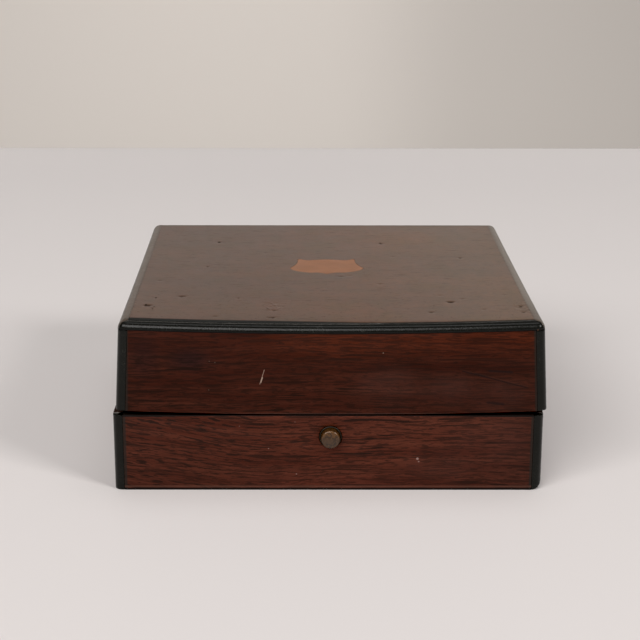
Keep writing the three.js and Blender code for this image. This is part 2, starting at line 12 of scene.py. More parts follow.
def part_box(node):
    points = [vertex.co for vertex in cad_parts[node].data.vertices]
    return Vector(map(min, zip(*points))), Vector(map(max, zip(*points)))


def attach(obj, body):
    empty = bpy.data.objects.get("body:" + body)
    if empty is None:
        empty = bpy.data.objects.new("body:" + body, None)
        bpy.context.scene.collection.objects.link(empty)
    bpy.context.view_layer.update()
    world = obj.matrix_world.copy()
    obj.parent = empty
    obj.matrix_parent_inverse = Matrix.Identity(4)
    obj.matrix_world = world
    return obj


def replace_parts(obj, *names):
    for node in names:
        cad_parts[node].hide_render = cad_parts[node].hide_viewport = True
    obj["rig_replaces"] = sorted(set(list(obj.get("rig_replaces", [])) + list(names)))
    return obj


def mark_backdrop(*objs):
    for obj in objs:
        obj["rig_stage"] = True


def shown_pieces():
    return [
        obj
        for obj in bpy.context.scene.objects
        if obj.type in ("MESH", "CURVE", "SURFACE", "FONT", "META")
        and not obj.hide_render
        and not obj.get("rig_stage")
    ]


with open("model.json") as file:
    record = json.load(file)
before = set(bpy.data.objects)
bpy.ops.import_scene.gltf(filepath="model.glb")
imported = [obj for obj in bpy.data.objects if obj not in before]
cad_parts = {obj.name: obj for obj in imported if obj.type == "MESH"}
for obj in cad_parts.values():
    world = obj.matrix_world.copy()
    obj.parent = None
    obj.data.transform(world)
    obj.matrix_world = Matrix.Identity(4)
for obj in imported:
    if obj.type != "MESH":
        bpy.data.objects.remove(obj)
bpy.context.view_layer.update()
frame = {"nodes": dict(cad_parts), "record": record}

bl_info = {
    "name": "Mahogany box with a push-button catch",
    "version": (1, 0, 0),
    "blender": (4, 5, 0),
    "location": "3D View > Sidebar > Box",
    "description": "Finishes a hinged mahogany box: wood, beads, inlay, linings and brasswork",
    "category": "Object",
}

MM = 0.001
SIDES = ("front", "right", "back", "left")
CORNERS = {"front_left": (-1, -1), "front_right": (1, -1), "back_left": (-1, 1), "back_right": (1, 1)}
NODES = frame["nodes"]


# Sizes read from the solids
def extent(*nodes):
    """Lowest and highest corner of several solids together."""
    lows, highs = zip(*(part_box(node) for node in nodes))
    return Vector(map(min, *lows)), Vector(map(max, *highs))


BASE_LOW, BASE_HIGH = extent(*(f"base_{side}_wall" for side in SIDES))
BUTTON_LOW, BUTTON_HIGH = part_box("push_button")
FERRULE_LOW, FERRULE_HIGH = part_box("button_ferrule")
FLOOR_LOW, FLOOR_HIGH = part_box("base_floor_lining")


# What a user may change
def number(name, description, default, **kind):
    return FloatProperty(name=name, description=description, default=default, **kind)


def length(name, description, default):
    return number(name, description, default, unit="LENGTH", precision=5)


def colour(name, description, default):
    return FloatVectorProperty(name=name, description=description, default=default, subtype="COLOR",
                               min=0.0, max=1.0, size=3)


class CaseSizes(bpy.types.PropertyGroup):
    """Sizes of the case, in metres."""

    width: length("Width", "Outer width of the base", BASE_HIGH.x - BASE_LOW.x)
    depth: length("Depth", "Outer depth of the base", BASE_HIGH.y - BASE_LOW.y)
    base_height: length("Base height", "Height of the base's rim", BASE_HIGH.z)
    lid_bottom: length("Lid bottom", "Height of the lid's rim where the seam is closed", 31.8 * MM)
    lid_height: length("Lid height", "Height of the lid over its middle", 36.5 * MM)
    bead: length("Bead", "Width of the black edge beads", 3.9 * MM)
    top_bead: length("Top bead height", "Height of the beads round the top", 3.3 * MM)
    rounding: length("Rounding", "Radius of the rounded edges", 3.1 * MM)
    glue_gap: length("Joint gap", "Gap at each glued joint", 0.15 * MM)
    filled: length("Filled gap", "How much of that gap the polish has filled", 0.12 * MM)
    slump: length("Slump", "How far the top's front edge is worn down", 0.2 * MM)
    top_thickness: length("Top thickness", "Thickness of the lid's panel", 5 * MM)
    pocket: length("Pocket", "Depth of the pocket for the shield", 1.35 * MM)
    shield: length("Shield thickness", "Thickness of the shield", 1.2 * MM)
    edge: length("Broken edge", "Width of the softened edges of the planks", 0.16 * MM)
    knock: length("Knocked corner", "Radius of the worn foot of the front right bead", 4.3 * MM)
    foot: length("Worn foot", "Height of the wear at the front of the right wall's foot", 3.6 * MM)
    foot_run: length("Worn run", "How far back that wear runs", 20 * MM)

    @property
    def lid_top(self):
        return self.lid_bottom + self.lid_height

    @property
    def panel(self):
        """Half the width and half the depth of the lid's panel."""
        return (size / 2 - self.bead - self.glue_gap for size in (self.width, self.depth))


class LidAgeing(bpy.types.PropertyGroup):
    """How far age has moved the lid, in metres."""

    cup: length("Cup", "Rise of the lid's front corners", 1.66 * MM)
    lean: length("Lean", "How far the sides lean in at the top", 2.1 * MM)
    shift_front: length("Front shift", "Sideways shift at the front", 1.2 * MM)
    shift_back: length("Back shift", "Sideways shift at the back", -0.8 * MM)


class BoxColours(bpy.types.PropertyGroup):
    """Colours of the finishes."""

    wood: colour("Mahogany", "Red-brown of the sides", (0.078, 0.0175, 0.009))
    wood_warm: colour("Mahogany, warm", "Orange-brown of the lighter grain", (0.118, 0.0315, 0.0175))
    wood_dark: colour("Mahogany pores", "Dark streaks and pores", (0.0085, 0.0036, 0.0022))
    top: colour("Top", "Red-brown of the lid's panel", (0.059, 0.0208, 0.0075))
    black: colour("Ebonised", "Black of the beads", (0.005, 0.0052, 0.0042))
    bare: colour("Bare wood", "Wood that shows where a bead is chipped", (0.17, 0.085, 0.048))
    shield: colour("Satinwood", "Copper brown of the shield", (0.258, 0.114, 0.058))
    brass: colour("Brass", "Brown gold of the worn brass", (0.33, 0.2, 0.085))
    patina: colour("Patina", "Dark brown film on the brass", (0.07, 0.045, 0.026))
    steel: colour("Spring steel", "Grey blue of the spring", (0.2, 0.21, 0.225))
    felt: colour("Felt", "Wine red of the linings", (0.075, 0.016, 0.02))


class StageSettings(bpy.types.PropertyGroup):
    """Floor, backdrop, light and camera."""

    floor: colour("Floor", "Pale floor", (0.715, 0.678, 0.668))
    wall: colour("Backdrop", "Pale backdrop", (0.712, 0.661, 0.618))
    floor_end: length("Floor end", "How far behind the box the floor ends", 0.7)
    wall_distance: length("Backdrop distance", "How far behind the box the backdrop stands", 2.3)
    key: number("Key light", "Power of the soft light at the front left, in watts", 128.0)
    side: number("Side light", "Power of the light at the front right, in watts", 50.0)
    fill: number("Top light", "Power of the soft light overhead, in watts", 10.0)
    back: number("Wall light", "Power of the light on the backdrop, in watts", 5.0)
    sky: number("Room light", "Strength of the light from all round", 0.15)
    black: number("Black level", "Light below this shows black", 0.004)
    lens: number("Lens", "Focal length in millimetres", 91.77)
    pitch: number("Pitch", "How far the camera looks down", math.radians(16.6915), subtype="ANGLE")
    yaw: number("Yaw", "How far the camera looks to the right", math.radians(0.1342), subtype="ANGLE")
    roll: number("Roll", "Tilt of the camera", math.radians(0.082), subtype="ANGLE")
    camera: FloatVectorProperty(name="Camera", description="Place of the camera", subtype="TRANSLATION",
                                default=(-4.7245 * MM, -689.179 * MM, 251.710 * MM))


def chosen(context):
    """The sizes and the colours that are set now."""
    return context.scene.box_case, context.scene.box_colours


GROUPS = {"box_case": CaseSizes, "box_ageing": LidAgeing, "box_colours": BoxColours,
          "box_stage": StageSettings}


# Modelling
WELD = 0.002 * MM  # corners of a solid that are nearer than this are one
ROUND = 96  # sides of turned work
BEAD_EDGE, METAL_EDGE, FELT_EDGE = 0.2 * MM, 0.1 * MM, 0.15 * MM  # widths of softened edges
WOOD_ANGLE, BEAD_ANGLE, METAL_ANGLE = 35, 50, 40  # degrees past which an edge stays sharp
CORNER_CUTS, TOP_CUTS, FELT_CUTS, UNDER_CUTS = 39, 99, 49, 9  # how finely pieces are divided
STEPS = 8  # steps of a rounded edge
CAGE_SIDE, CAGE_SPARE, CAGE_POINTS = 250 * MM, 10 * MM, 25  # the lattice that bends the lid


def deselect():
    bpy.ops.object.select_all(action="DESELECT")


def activate(obj):
    deselect()
    obj.select_set(True)
    bpy.context.view_layer.objects.active = obj


@contextmanager
def edited(obj):
    """Edit mode on one piece, with all of it selected at first."""
    activate(obj)
    bpy.ops.object.mode_set(mode="EDIT")
    bpy.ops.mesh.select_mode(type="VERT")
    bpy.ops.mesh.select_all(action="SELECT")
    yield
    bpy.ops.object.mode_set(mode="OBJECT")


def pick(kind, test):
    """Selects the verts, edges or faces of the edited mesh that pass a test."""
    mesh = bpy.context.object.data
    bpy.ops.mesh.select_all(action="DESELECT")
    bpy.ops.mesh.select_mode(type={"verts": "VERT", "edges": "EDGE", "faces": "FACE"}[kind])
    shape = bmesh.from_edit_mesh(mesh)
    for part in getattr(shape, kind):
        if test(part):
            part.select_set(True)
    bmesh.update_edit_mesh(mesh)


def divide(kind, test, *cuts):
    """Divides what passes a test, once for each number of cuts."""
    pick(kind, test)
    for number_cuts in cuts:
        bpy.ops.mesh.subdivide(number_cuts=number_cuts)


def face_out():
    """Turns all faces of the edited piece outwards."""
    bpy.ops.mesh.select_all(action="SELECT")
    bpy.ops.mesh.normals_make_consistent(inside=False)


def push(move, reach, falloff):
    """Moves what is picked, and what lies within reach of it less and less."""
    bpy.ops.transform.translate(value=move, use_proportional_edit=True, proportional_size=reach,
                                proportional_edit_falloff=falloff)


def along(edge, axis, longer=0):
    """Whether an edge runs along an axis and is longer than some millimetres."""
    run = edge.verts[1].co - edge.verts[0].co
    return abs(run[axis]) > 0.999 * run.length and run.length > longer * MM


def settle():
    """Puts a piece's place into its mesh."""
    bpy.ops.object.transform_apply(location=True, rotation=True, scale=True)


def linked(name, data):
    """A new object in the scene."""
    obj = bpy.data.objects.new(name, data)
    bpy.context.scene.collection.objects.link(obj)
    return obj


def block(name, low, high):
    """A cube stretched between two corners."""
    deselect()
    low, high = Vector(low), Vector(high)
    bpy.ops.mesh.primitive_cube_add(size=1, location=(low + high) / 2)
    obj = bpy.context.object
    obj.name = name
    obj.scale = high - low
    settle()
    return obj


def copied(obj, name):
    """A copy with its own mesh."""
    return linked(name, obj.data.copy())


def removed(obj):
    bpy.data.objects.remove(obj)


def apply(obj, kind, **settings):
    """Adds a modifier, sets it and applies it."""
    activate(obj)
    modifier = obj.modifiers.new(kind.title(), kind)
    for key, value in settings.items():
        setattr(modifier, key, value)
    bpy.ops.object.modifier_apply(modifier=modifier.name)


def sliced(obj, cuts):
    """Cuts a piece at planes, each a point and the direction of the side that goes."""
    with edited(obj):
        for point, away in cuts:
            bpy.ops.mesh.select_all(action="SELECT")
            bpy.ops.mesh.bisect(plane_co=point, plane_no=away, use_fill=True, clear_outer=True)
        face_out()
    return obj


def smoothed(obj, degrees):
    """Shades a piece smooth, but for edges past an angle."""
    activate(obj)
    bpy.ops.object.shade_smooth_by_angle(angle=math.radians(degrees))


def softened(obj, width, degrees=30):
    """Breaks the sharp edges of a piece."""
    apply(obj, "BEVEL", width=width, segments=2, limit_method="ANGLE", angle_limit=math.radians(degrees),
          use_clamp_overlap=True, miter_outer="MITER_ARC")


def from_node(node, name):
    """A copy of a solid's mesh with its corners joined and its flat faces whole."""
    obj = copied(NODES[node], name)
    obj.data.materials.clear()
    activate(obj)
    bpy.ops.mesh.customdata_custom_splitnormals_clear()
    with edited(obj):
        bpy.ops.mesh.remove_doubles(threshold=WELD)
        bpy.ops.mesh.dissolve_limited(angle_limit=math.radians(0.15))
    return obj


def noted(obj, name, amounts):
    """Notes a number from 0 to 1 at each corner of a piece, for its finish to read."""
    note = obj.data.attributes.new(name, "FLOAT", "POINT")
    note.data.foreach_set("value", [min(1.0, max(0.0, amount)) for amount in amounts])


def worn(obj, depth, grain):
    """Wears a surface down unevenly, never outwards."""
    texture = bpy.data.textures.new(f"{obj.name}_wear", "CLOUDS")
    texture.noise_scale = grain
    texture.noise_depth = 3
    apply(obj, "DISPLACE", texture=texture, texture_coords="LOCAL", strength=depth, mid_level=1.0)


def shared(name, finish, colours):
    """A finish that several operators use, made once."""
    return bpy.data.materials.get(name) or finish(name, colours)


def finished(obj, degrees, material, body, slot, *nodes):
    """Shades a piece, gives it its finish and puts it on its body in place of its solids."""
    smoothed(obj, degrees)
    obj.data.materials.clear()
    obj.data.materials.append(material)
    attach(obj, body)
    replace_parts(obj, *nodes)


def rounded_case(case, bottom, top):
    """The whole case as one block with rounded edges, from which the beads are cut."""
    x, y = case.width / 2, case.depth / 2
    obj = block("whole_case", (-x, -y, bottom), (x, y, top))
    with edited(obj):
        bpy.ops.mesh.bevel(offset=case.rounding, segments=STEPS, affect="EDGES", profile=0.5)
    return obj


def aged(context, obj):
    """Gives a piece of the lid the set that the lid has taken: cupped, leaning in and a little askew."""
    case, ageing = context.scene.box_case, context.scene.box_ageing
    deselect()
    bpy.ops.object.add(type="LATTICE", location=(0, 0, case.lid_bottom + case.lid_height / 2))
    cage = bpy.context.object
    cage.name = "lid_ageing"
    cage.scale = (CAGE_SIDE, CAGE_SIDE, case.lid_height + CAGE_SPARE)
    shape = cage.data
    shape.points_u = shape.points_v = CAGE_POINTS
    shape.points_w = 2
    shape.interpolation_type_u = shape.interpolation_type_v = "KEY_BSPLINE"
    shape.interpolation_type_w = "KEY_LINEAR"
    bpy.context.view_layer.update()
    placed = cage.matrix_world
    back = placed.inverted()
    for point in shape.points:
        x, y, z = placed @ point.co
        across = 2 * x / case.width
        forward = (case.depth / 2 - y) / case.depth
        rise = (z - case.lid_bottom) / case.lid_height
        shift = ageing.shift_back + (ageing.shift_front - ageing.shift_back) * forward
        lifted = z + ageing.cup * across ** 2 * forward ** 2
        point.co_deform = back @ Vector((x - ageing.lean * across * rise + shift, y, lifted))
    apply(obj, "LATTICE", object=cage)
    removed(cage)


def turned(name, profile, centre):
    """Turned work about Y: a circle extruded ring by ring, each a radius and a depth in millimetres."""
    deselect()
    profile = [(radius * MM, depth * MM) for radius, depth in profile]
    radius, depth = profile[0]
    bpy.ops.mesh.primitive_circle_add(vertices=ROUND, radius=radius, rotation=(math.pi / 2, 0, 0),
                                      location=centre + Vector((0, depth, 0)))
    obj = bpy.context.object
    obj.name = name
    settle()
    with edited(obj):
        for (r0, d0), (r1, d1) in zip(profile, profile[1:]):
            bpy.ops.mesh.extrude_region_move(TRANSFORM_OT_translate={"value": (0, d1 - d0, 0)})
            bpy.ops.transform.resize(value=(r1 / r0, 1, r1 / r0),
                                     center_override=centre + Vector((0, d1, 0)))
        bpy.ops.mesh.select_all(action="SELECT")
        bpy.ops.mesh.remove_doubles(threshold=0.5 * WELD)
        pick("edges", lambda edge: edge.is_boundary)
        bpy.ops.mesh.edge_face_add()
        face_out()
    return obj


# Finishes
def sums(operation, swapped=False):
    """A method that adds a Math node, with its values swapped for a reflected operator."""

    def method(*values):
        inputs = dict(enumerate(reversed(values) if swapped else values))
        return values[0].finish.node("ShaderNodeMath", {"operation": operation}, inputs)

    return method


class Value:
    """A node's output that takes part in sums."""

    __add__ = __radd__ = sums("ADD")
    __sub__, __rsub__ = sums("SUBTRACT"), sums("SUBTRACT", swapped=True)
    __mul__ = __rmul__ = sums("MULTIPLY")
    __truediv__, __pow__ = sums("DIVIDE"), sums("POWER")
    least, most, size = sums("MINIMUM"), sums("MAXIMUM"), sums("ABSOLUTE")

    def __init__(self, finish, socket):
        self.finish = finish
        self.socket = socket

    def between(self, low, high):
        """0 below low, 1 above high, and smooth in between."""
        return self.finish.node("ShaderNodeMapRange", {"interpolation_type": "SMOOTHSTEP"},
                                {"Value": self, "From Min": low, "From Max": high})

    def within(self, low, high):
        """The same, with low and high in millimetres."""
        return self.between(low * MM, high * MM)


class Finish:
    """One procedural material, built from nodes over a first tone."""

    def __init__(self, name, tone):
        self.tone = tone
        self.material = bpy.data.materials.new(name)
        self.material.use_nodes = True
        self.tree = self.material.node_tree
        self.tree.nodes.clear()
        self.place = self.node("ShaderNodeTexCoord", out="Object")
        parts = self.tree.nodes.new("ShaderNodeSeparateXYZ")
        self.tree.links.new(self.place.socket, parts.inputs[0])
        self.ways = self.x, self.y, self.z = [Value(self, socket) for socket in parts.outputs]

    def node(self, kind, settings=None, inputs=None, out=0):
        """Adds a node, with its settings first and then the values or links of its sockets."""
        node = self.tree.nodes.new(kind)
        for key, value in (settings or {}).items():
            setattr(node, key, value)
        for key, value in (inputs or {}).items():
            socket = node.inputs[key]
            if isinstance(value, Value):
                self.tree.links.new(value.socket, socket)
            elif socket.type == "RGBA":
                socket.default_value = (*value[:3], 1)
            else:
                socket.default_value = value
        return Value(self, node.outputs[out])

    def noise(self, scale, detail=2, roughness=0.5, distortion=0, place=None):
        """Noise that is alike in all ways, unless it is given a stretched place."""
        return self.node("ShaderNodeTexNoise", inputs={
            "Vector": place or self.place, "Scale": scale, "Detail": detail,
            "Roughness": roughness, "Distortion": distortion})

    def stretched(self, ways, scales, shift=0, detail=2, roughness=0.5, distortion=0):
        """Noise with a scale of its own along each of three ways, shifted along the last."""
        x, y, z = (way * scale for way, scale in zip(ways, scales))
        z = z + shift if shift else z
        place = self.node("ShaderNodeCombineXYZ", inputs={0: x, 1: y, 2: z})
        return self.noise(1, detail, roughness, distortion, place)

    def note(self, name):
        """A number that the piece's corners carry."""
        return self.node("ShaderNodeAttribute", {"attribute_name": name}, out="Fac")

    def upward(self):
        """How far a face looks up."""
        normal = self.node("ShaderNodeTexCoord", out="Normal")
        return self.node("ShaderNodeSeparateXYZ", inputs={0: normal}, out=2)

    def mix(self, first, second, share):
        """One colour turning into another."""
        inputs = {0: share, 6: first, 7: second}
        return self.node("ShaderNodeMix", {"data_type": "RGBA"}, inputs, out=2)

    def lay(self, tone, share):
        """Lays a tone over what is there."""
        self.tone = self.mix(self.tone, tone, share)

    def shade(self, amount):
        """Makes what is there lighter or darker."""
        inputs = {0: self.tone, "Scale": amount}
        self.tone = self.node("ShaderNodeVectorMath", {"operation": "SCALE"}, inputs)

    def done(self, rough, relief=None, **sockets):
        """Ends with the shader, its sockets named with an underscore for each space.

        Relief is a height, a depth in millimetres and a strength.
        """
        inputs = {"Base Color": self.tone, "Roughness": rough}
        inputs.update((key.replace("_", " "), value) for key, value in sockets.items())
        if relief:
            height, depth, strength = relief
            inputs["Normal"] = self.node("ShaderNodeBump", inputs={
                "Height": height, "Distance": depth * MM, "Strength": strength})
        shader = self.node("ShaderNodeBsdfPrincipled", inputs=inputs)
        out = self.tree.nodes.new("ShaderNodeOutputMaterial")
        self.tree.links.new(shader.socket, out.inputs["Surface"])
        return self.material


def strongest(masks):
    """The strongest of several masks at each place."""
    return reduce(Value.most, masks)


def strokes(across, up, marks):
    """Straight marks on a face: start, end and width in millimetres, and strength."""
    masks = []
    for start, end, width, share in marks:
        start, end = Vector(start) * MM, Vector(end) * MM
        run = (end - start).length
        way = (end - start) / run
        ahead = (across - start.x) * way.x + (up - start.y) * way.y
        aside = ((across - start.x) * -way.y + (up - start.y) * way.x).size()
        beyond = (ahead * -1).most(ahead - run).most(0.0)
        masks.append((1 - (aside + beyond * 0.6).within(width * 0.35, width)) * share)
    return strongest(masks)


def spots(across, up, places, soft):
    """Round or oval marks on a face: centre and one or two radii in millimetres, and strength."""
    masks = []
    for x, z, *reach, share in places:
        x, z = (across - x * MM) / (reach[0] * MM), (up - z * MM) / (reach[-1] * MM)
        masks.append((1 - ((x * x + z * z) ** 0.5).between(1 - soft, 1)) * share)
    return strongest(masks)


CLOUDY, RAGGED, CRISP = 0.9, 0.6, 0.5  # how much of a spot's radius is soft

# Tones of wear and dirt on the sides, and of painted shade at the seam and under the base
SEAM_RIM_SHADE, SEAM_SHADOW, CONTACT_SHADOW = (0.02, 0.009, 0.006), (0.006, 0.004, 0.0034), (0.004, 0.003, 0.0025)
DULL_FILM, BEAD_STAIN, BRUISE = (0.078, 0.036, 0.029), (0.016, 0.012, 0.01), (0.036, 0.016, 0.016)
GLOW, DARK_END, RED_FOOT = (0.27, 0.05, 0.014), (0.055, 0.019, 0.013), (0.2, 0.05, 0.03)
SCRATCH, HAIRLINE, SCRAPE = (0.01, 0.005, 0.0045), (0.13, 0.07, 0.052), (0.5, 0.36, 0.28)
LID_SPECK, BASE_SPECK = (0.3, 0.22, 0.17), (0.42, 0.29, 0.26)
RUBBED_RIM, RUBBED_FOOT = (0.06, 0.036, 0.03), (0.15, 0.065, 0.045)

# Marks on the fronts, in millimetres across and up
LID_BRUISES = ((-54, 54.5, 13, 7, 1), (-72, 56, 9, 13, 0.7))
LID_FILM = ((23.3, 43, 21, 13, 1), (66.5, 39.5, 19, 10, 1), (45, 42, 22, 10, 1))
LID_SCRATCHES = (((52.3, 49.9), (77.7, 43.1), 0.3, 1), ((57, 49.2), (71, 44.6), 0.28, 0.6),
                 ((63, 49.9), (71.5, 49.5), 0.75, 0.8), ((62.6, 36.9), (68.6, 36.3), 0.75, 0.8))
LID_HAIRLINES = (((51.3, 50.7), (78, 43.6), 0.28, 1), ((58.3, 37.3), (72.5, 34.5), 0.28, 0.7))
LID_SCRAPES = (((-25, 50.3), (-26.8, 44.5), 0.19, 0.5), ((-25.8, 47.2), (-26.4, 45.3), 0.34, 0.8))
LID_SPECKS = ((21.3, 57.3, 0.28, 1), (-46.4, 53.9, 0.25, 0.5), (-44.2, 53.4, 0.25, 0.5),
              (-46.8, 42.1, 0.25, 0.5))
BASE_FILM = ((64, 21, 24, 13, 1), (44, 11, 24, 11, 1))
BASE_SPECKS = ((35.4, 13.3, 0.65, 1), (35.9, 12.1, 0.4, 0.7), (-12.6, 6.8, 0.3, 0.8),
               (-23.6, 17.6, 0.3, 0.6), (-35.0, 27.0, 0.3, 0.3), (-13.1, 28.8, 0.3, 0.3))


def mahogany(name, colours, grain, seed, tint, lively=0.0, clouds=None, scars=None, end=SEAM_RIM_SHADE,
             shine=0.13):
    """Polished mahogany whose grain runs along X or Y."""
    f = Finish(name, colours.wood)
    run, deep = (f.x, f.y) if grain == "X" else (f.y, f.x)
    straight = (run, f.z, deep)
    drift = f.stretched(straight, (12, 45, 30), seed) - 0.5
    swirl = f.stretched(straight, (42, 110, 60), seed + 7) - 0.5
    left = (1 - run.within(-60, 0)) * lively
    slant = left * (run + 40 * MM) * 0.14
    across = f.z + drift * (3.2 * MM) + swirl * (1.1 * MM) + slant
    wavy = (run, across, deep + drift * (1.5 * MM))
    bands = f.stretched(wavy, (10, 250, 120), seed, 3, 0.6)
    cloud = f.stretched(straight, (17, 42, 30), seed + 3)
    fibres = f.stretched(wavy, (80, 1000, 900), seed, 4, 0.7) - 0.5
    dashes = f.stretched(wavy, (170, 1150, 1100), seed + 11, 1, 0.4)
    pores = f.stretched(wavy, (330, 2300, 1700), seed + 17, 1)
    streaks = f.stretched(wavy, (42, 760, 700), seed + 23, 2, 0.6)
    hairs = f.stretched(wavy, (60, 1400, 900), seed + 31, 1)

    f.lay(colours.wood_warm, bands.between(0.34, 0.68))
    if clouds:
        clouds(f)
    f.shade((0.9 + cloud.between(0.25, 0.75) * 0.5 + fibres * 1.5) * tint)
    busy = cloud.between(0.36, 0.66)
    dashed = dashes.between(0.57, 0.63) * (0.4 + busy * 0.25 + left * 0.35)
    porous = pores.between(0.58, 0.66) * (0.25 + bands * 0.6)
    streaked = streaks.between(0.565, 0.63) * (0.5 + busy * 0.4)
    dark = strongest((dashed, porous, streaked, hairs.between(0.57, 0.65) * 0.6)).least(0.95)
    f.lay(colours.wood_dark, dark)
    # Painted shade: the rims at the seam are darkened, and on the fronts a painted shadow line runs along
    # the seam, wider towards the ends
    rim = seam_shade = f.upward().size().between(0.3, 0.7) * f.z.within(29, 30) * (1 - f.z.within(34.5, 36))
    if scars:
        scars(f)
        opening = run.size().within(35, 78) * (0.4 * MM)
        seam_shade = rim.most(1 - ((f.z - 31.7 * MM).size() - opening).within(0.35, 0.5))
    f.lay(end, seam_shade)
    smear = f.stretched(straight, (60, 60, 60), 0, 3) - 0.5
    return f.done(0.4 + smear * 0.28 + dark * 0.14 + rim * 0.3, (fibres * 0.35 - dark, 0.035, 0.7),
                  Specular_IOR_Level=shine)


def filmed(f, places, share):
    """Cloudy patches where the polish has gone dull."""
    cloud = f.stretched((f.x, f.z, 0), (70, 95, 0), 3, 3, 0.55).between(0.3, 0.68)
    f.lay(DULL_FILM, spots(f.x, f.z, places, CLOUDY) * (0.35 + cloud * 0.65) * share)


def beside_beads(f, level, *ends):
    """Black that has crept over a front's ends: side, place at a level, lean and width of each."""
    for side, place, lean, width in ends:
        inside = (f.x * side - (f.z - level * MM) * lean - place * MM) * -1
        f.lay(BEAD_STAIN, (1 - inside.within(width - 0.3, width + 0.1)) * 0.85)


def lid_front_clouds(f):
    """The lid's front: a dark bruise at the left and warmer wood under the bead."""
    f.lay(BRUISE, spots(f.x, f.z, LID_BRUISES, CLOUDY) * 0.75)
    f.lay(GLOW, f.z.within(50, 64) * f.x.within(-45, 0) * 0.3)


def lid_front_scars(f):
    """The lid's front: dull patches, scratches, a white scrape, pale specks and a rubbed rim."""
    filmed(f, LID_FILM, 0.21)
    f.lay(SCRATCH, strokes(f.x, f.z, LID_SCRATCHES) * 0.9)
    f.lay(HAIRLINE, strokes(f.x, f.z, LID_HAIRLINES) * 0.04)
    f.lay(SCRAPE, strokes(f.x, f.z, LID_SCRAPES) * 0.68)
    f.lay(LID_SPECK, spots(f.x, f.z, LID_SPECKS, CRISP) * 0.45)
    rim = 1 - (f.z - 31.8 * MM).size().within(0.2, 0.9)
    f.lay(RUBBED_RIM, rim * f.x.within(-70, -10) * (1 - f.x.within(60, 80)) * 0.5)
    beside_beads(f, 50, (-1, 78.89, -0.0328, 0.75), (1, 80.99, -0.0522, 0.6))


def base_front_clouds(f):
    """The base's front: a darker right end and redder wood low in the middle."""
    f.lay(DARK_END, f.x.within(40, 84) * 0.4)
    f.lay(RED_FOOT, (1 - f.z.within(0, 13)) * (1 - f.x.size().within(15, 60)) * 0.3)


def base_front_marks_and_shadow(f):
    """The base's front: dull patches, pale specks, a rubbed foot and a painted contact shadow along its
    bottom edge.
    """
    filmed(f, BASE_FILM, 0.12)
    f.lay(BASE_SPECK, spots(f.x, f.z, BASE_SPECKS, CRISP) * 0.45)
    beside_beads(f, 20, (-1, 80.5, 0, 0.75), (1, 80.5, 0, 0.6))
    f.lay(RUBBED_FOOT, (1 - (f.z - 1.5 * MM).size().within(0.1, 0.6)) * 0.35)
    # painted contact shadow: a dark line along the bottom edge
    f.lay(CONTACT_SHADOW, (1 - f.z.within(0.6, 1.15)) * 0.97)


# Tones of the lid's panel, and its marks in millimetres across and back
TOP_BAND, TOP_BLOTCH, TOP_RED = (0.088, 0.0325, 0.0095), (0.058, 0.033, 0.010), (0.084, 0.026, 0.009)
TOP_GREY, TOP_SMUDGE, TOP_PIT = (0.064, 0.044, 0.028), (0.034, 0.023, 0.018), (0.007, 0.005, 0.004)
SMUDGES = ((4, -15, 11, 6, 1),)
CRAZED = ((-22, -59, 6, 8, 1), (80, -63, 8, 12, 1), (-83, -62, 8, 24, 1))
MARKS = (
    (-73.2, -59.2, 0.6, 1), (-71.8, -61.0, 0.55, 1), (-70.0, -64.9, 0.5, 0.8), (-69.6, -61.9, 0.45, 0.6),
    (-70.2, -48.4, 0.5, 0.7), (-50.0, 48.4, 0.9, 0.6), (24.8, 46.8, 0.8, 0.4), (49.9, -53.2, 0.55, 0.6),
    (-59.9, -46.4, 0.7, 0.4), (59.7, 19.0, 0.7, 0.4), (-52.5, 3.2, 0.7, 0.35), (-21.7, -74.8, 0.8, 0.4),
    (77.2, -62.0, 0.6, 0.4), (-36.6, -47.0, 0.5, 0.4),
)
MARK_RATIO = 0.6  # width over depth of a mark


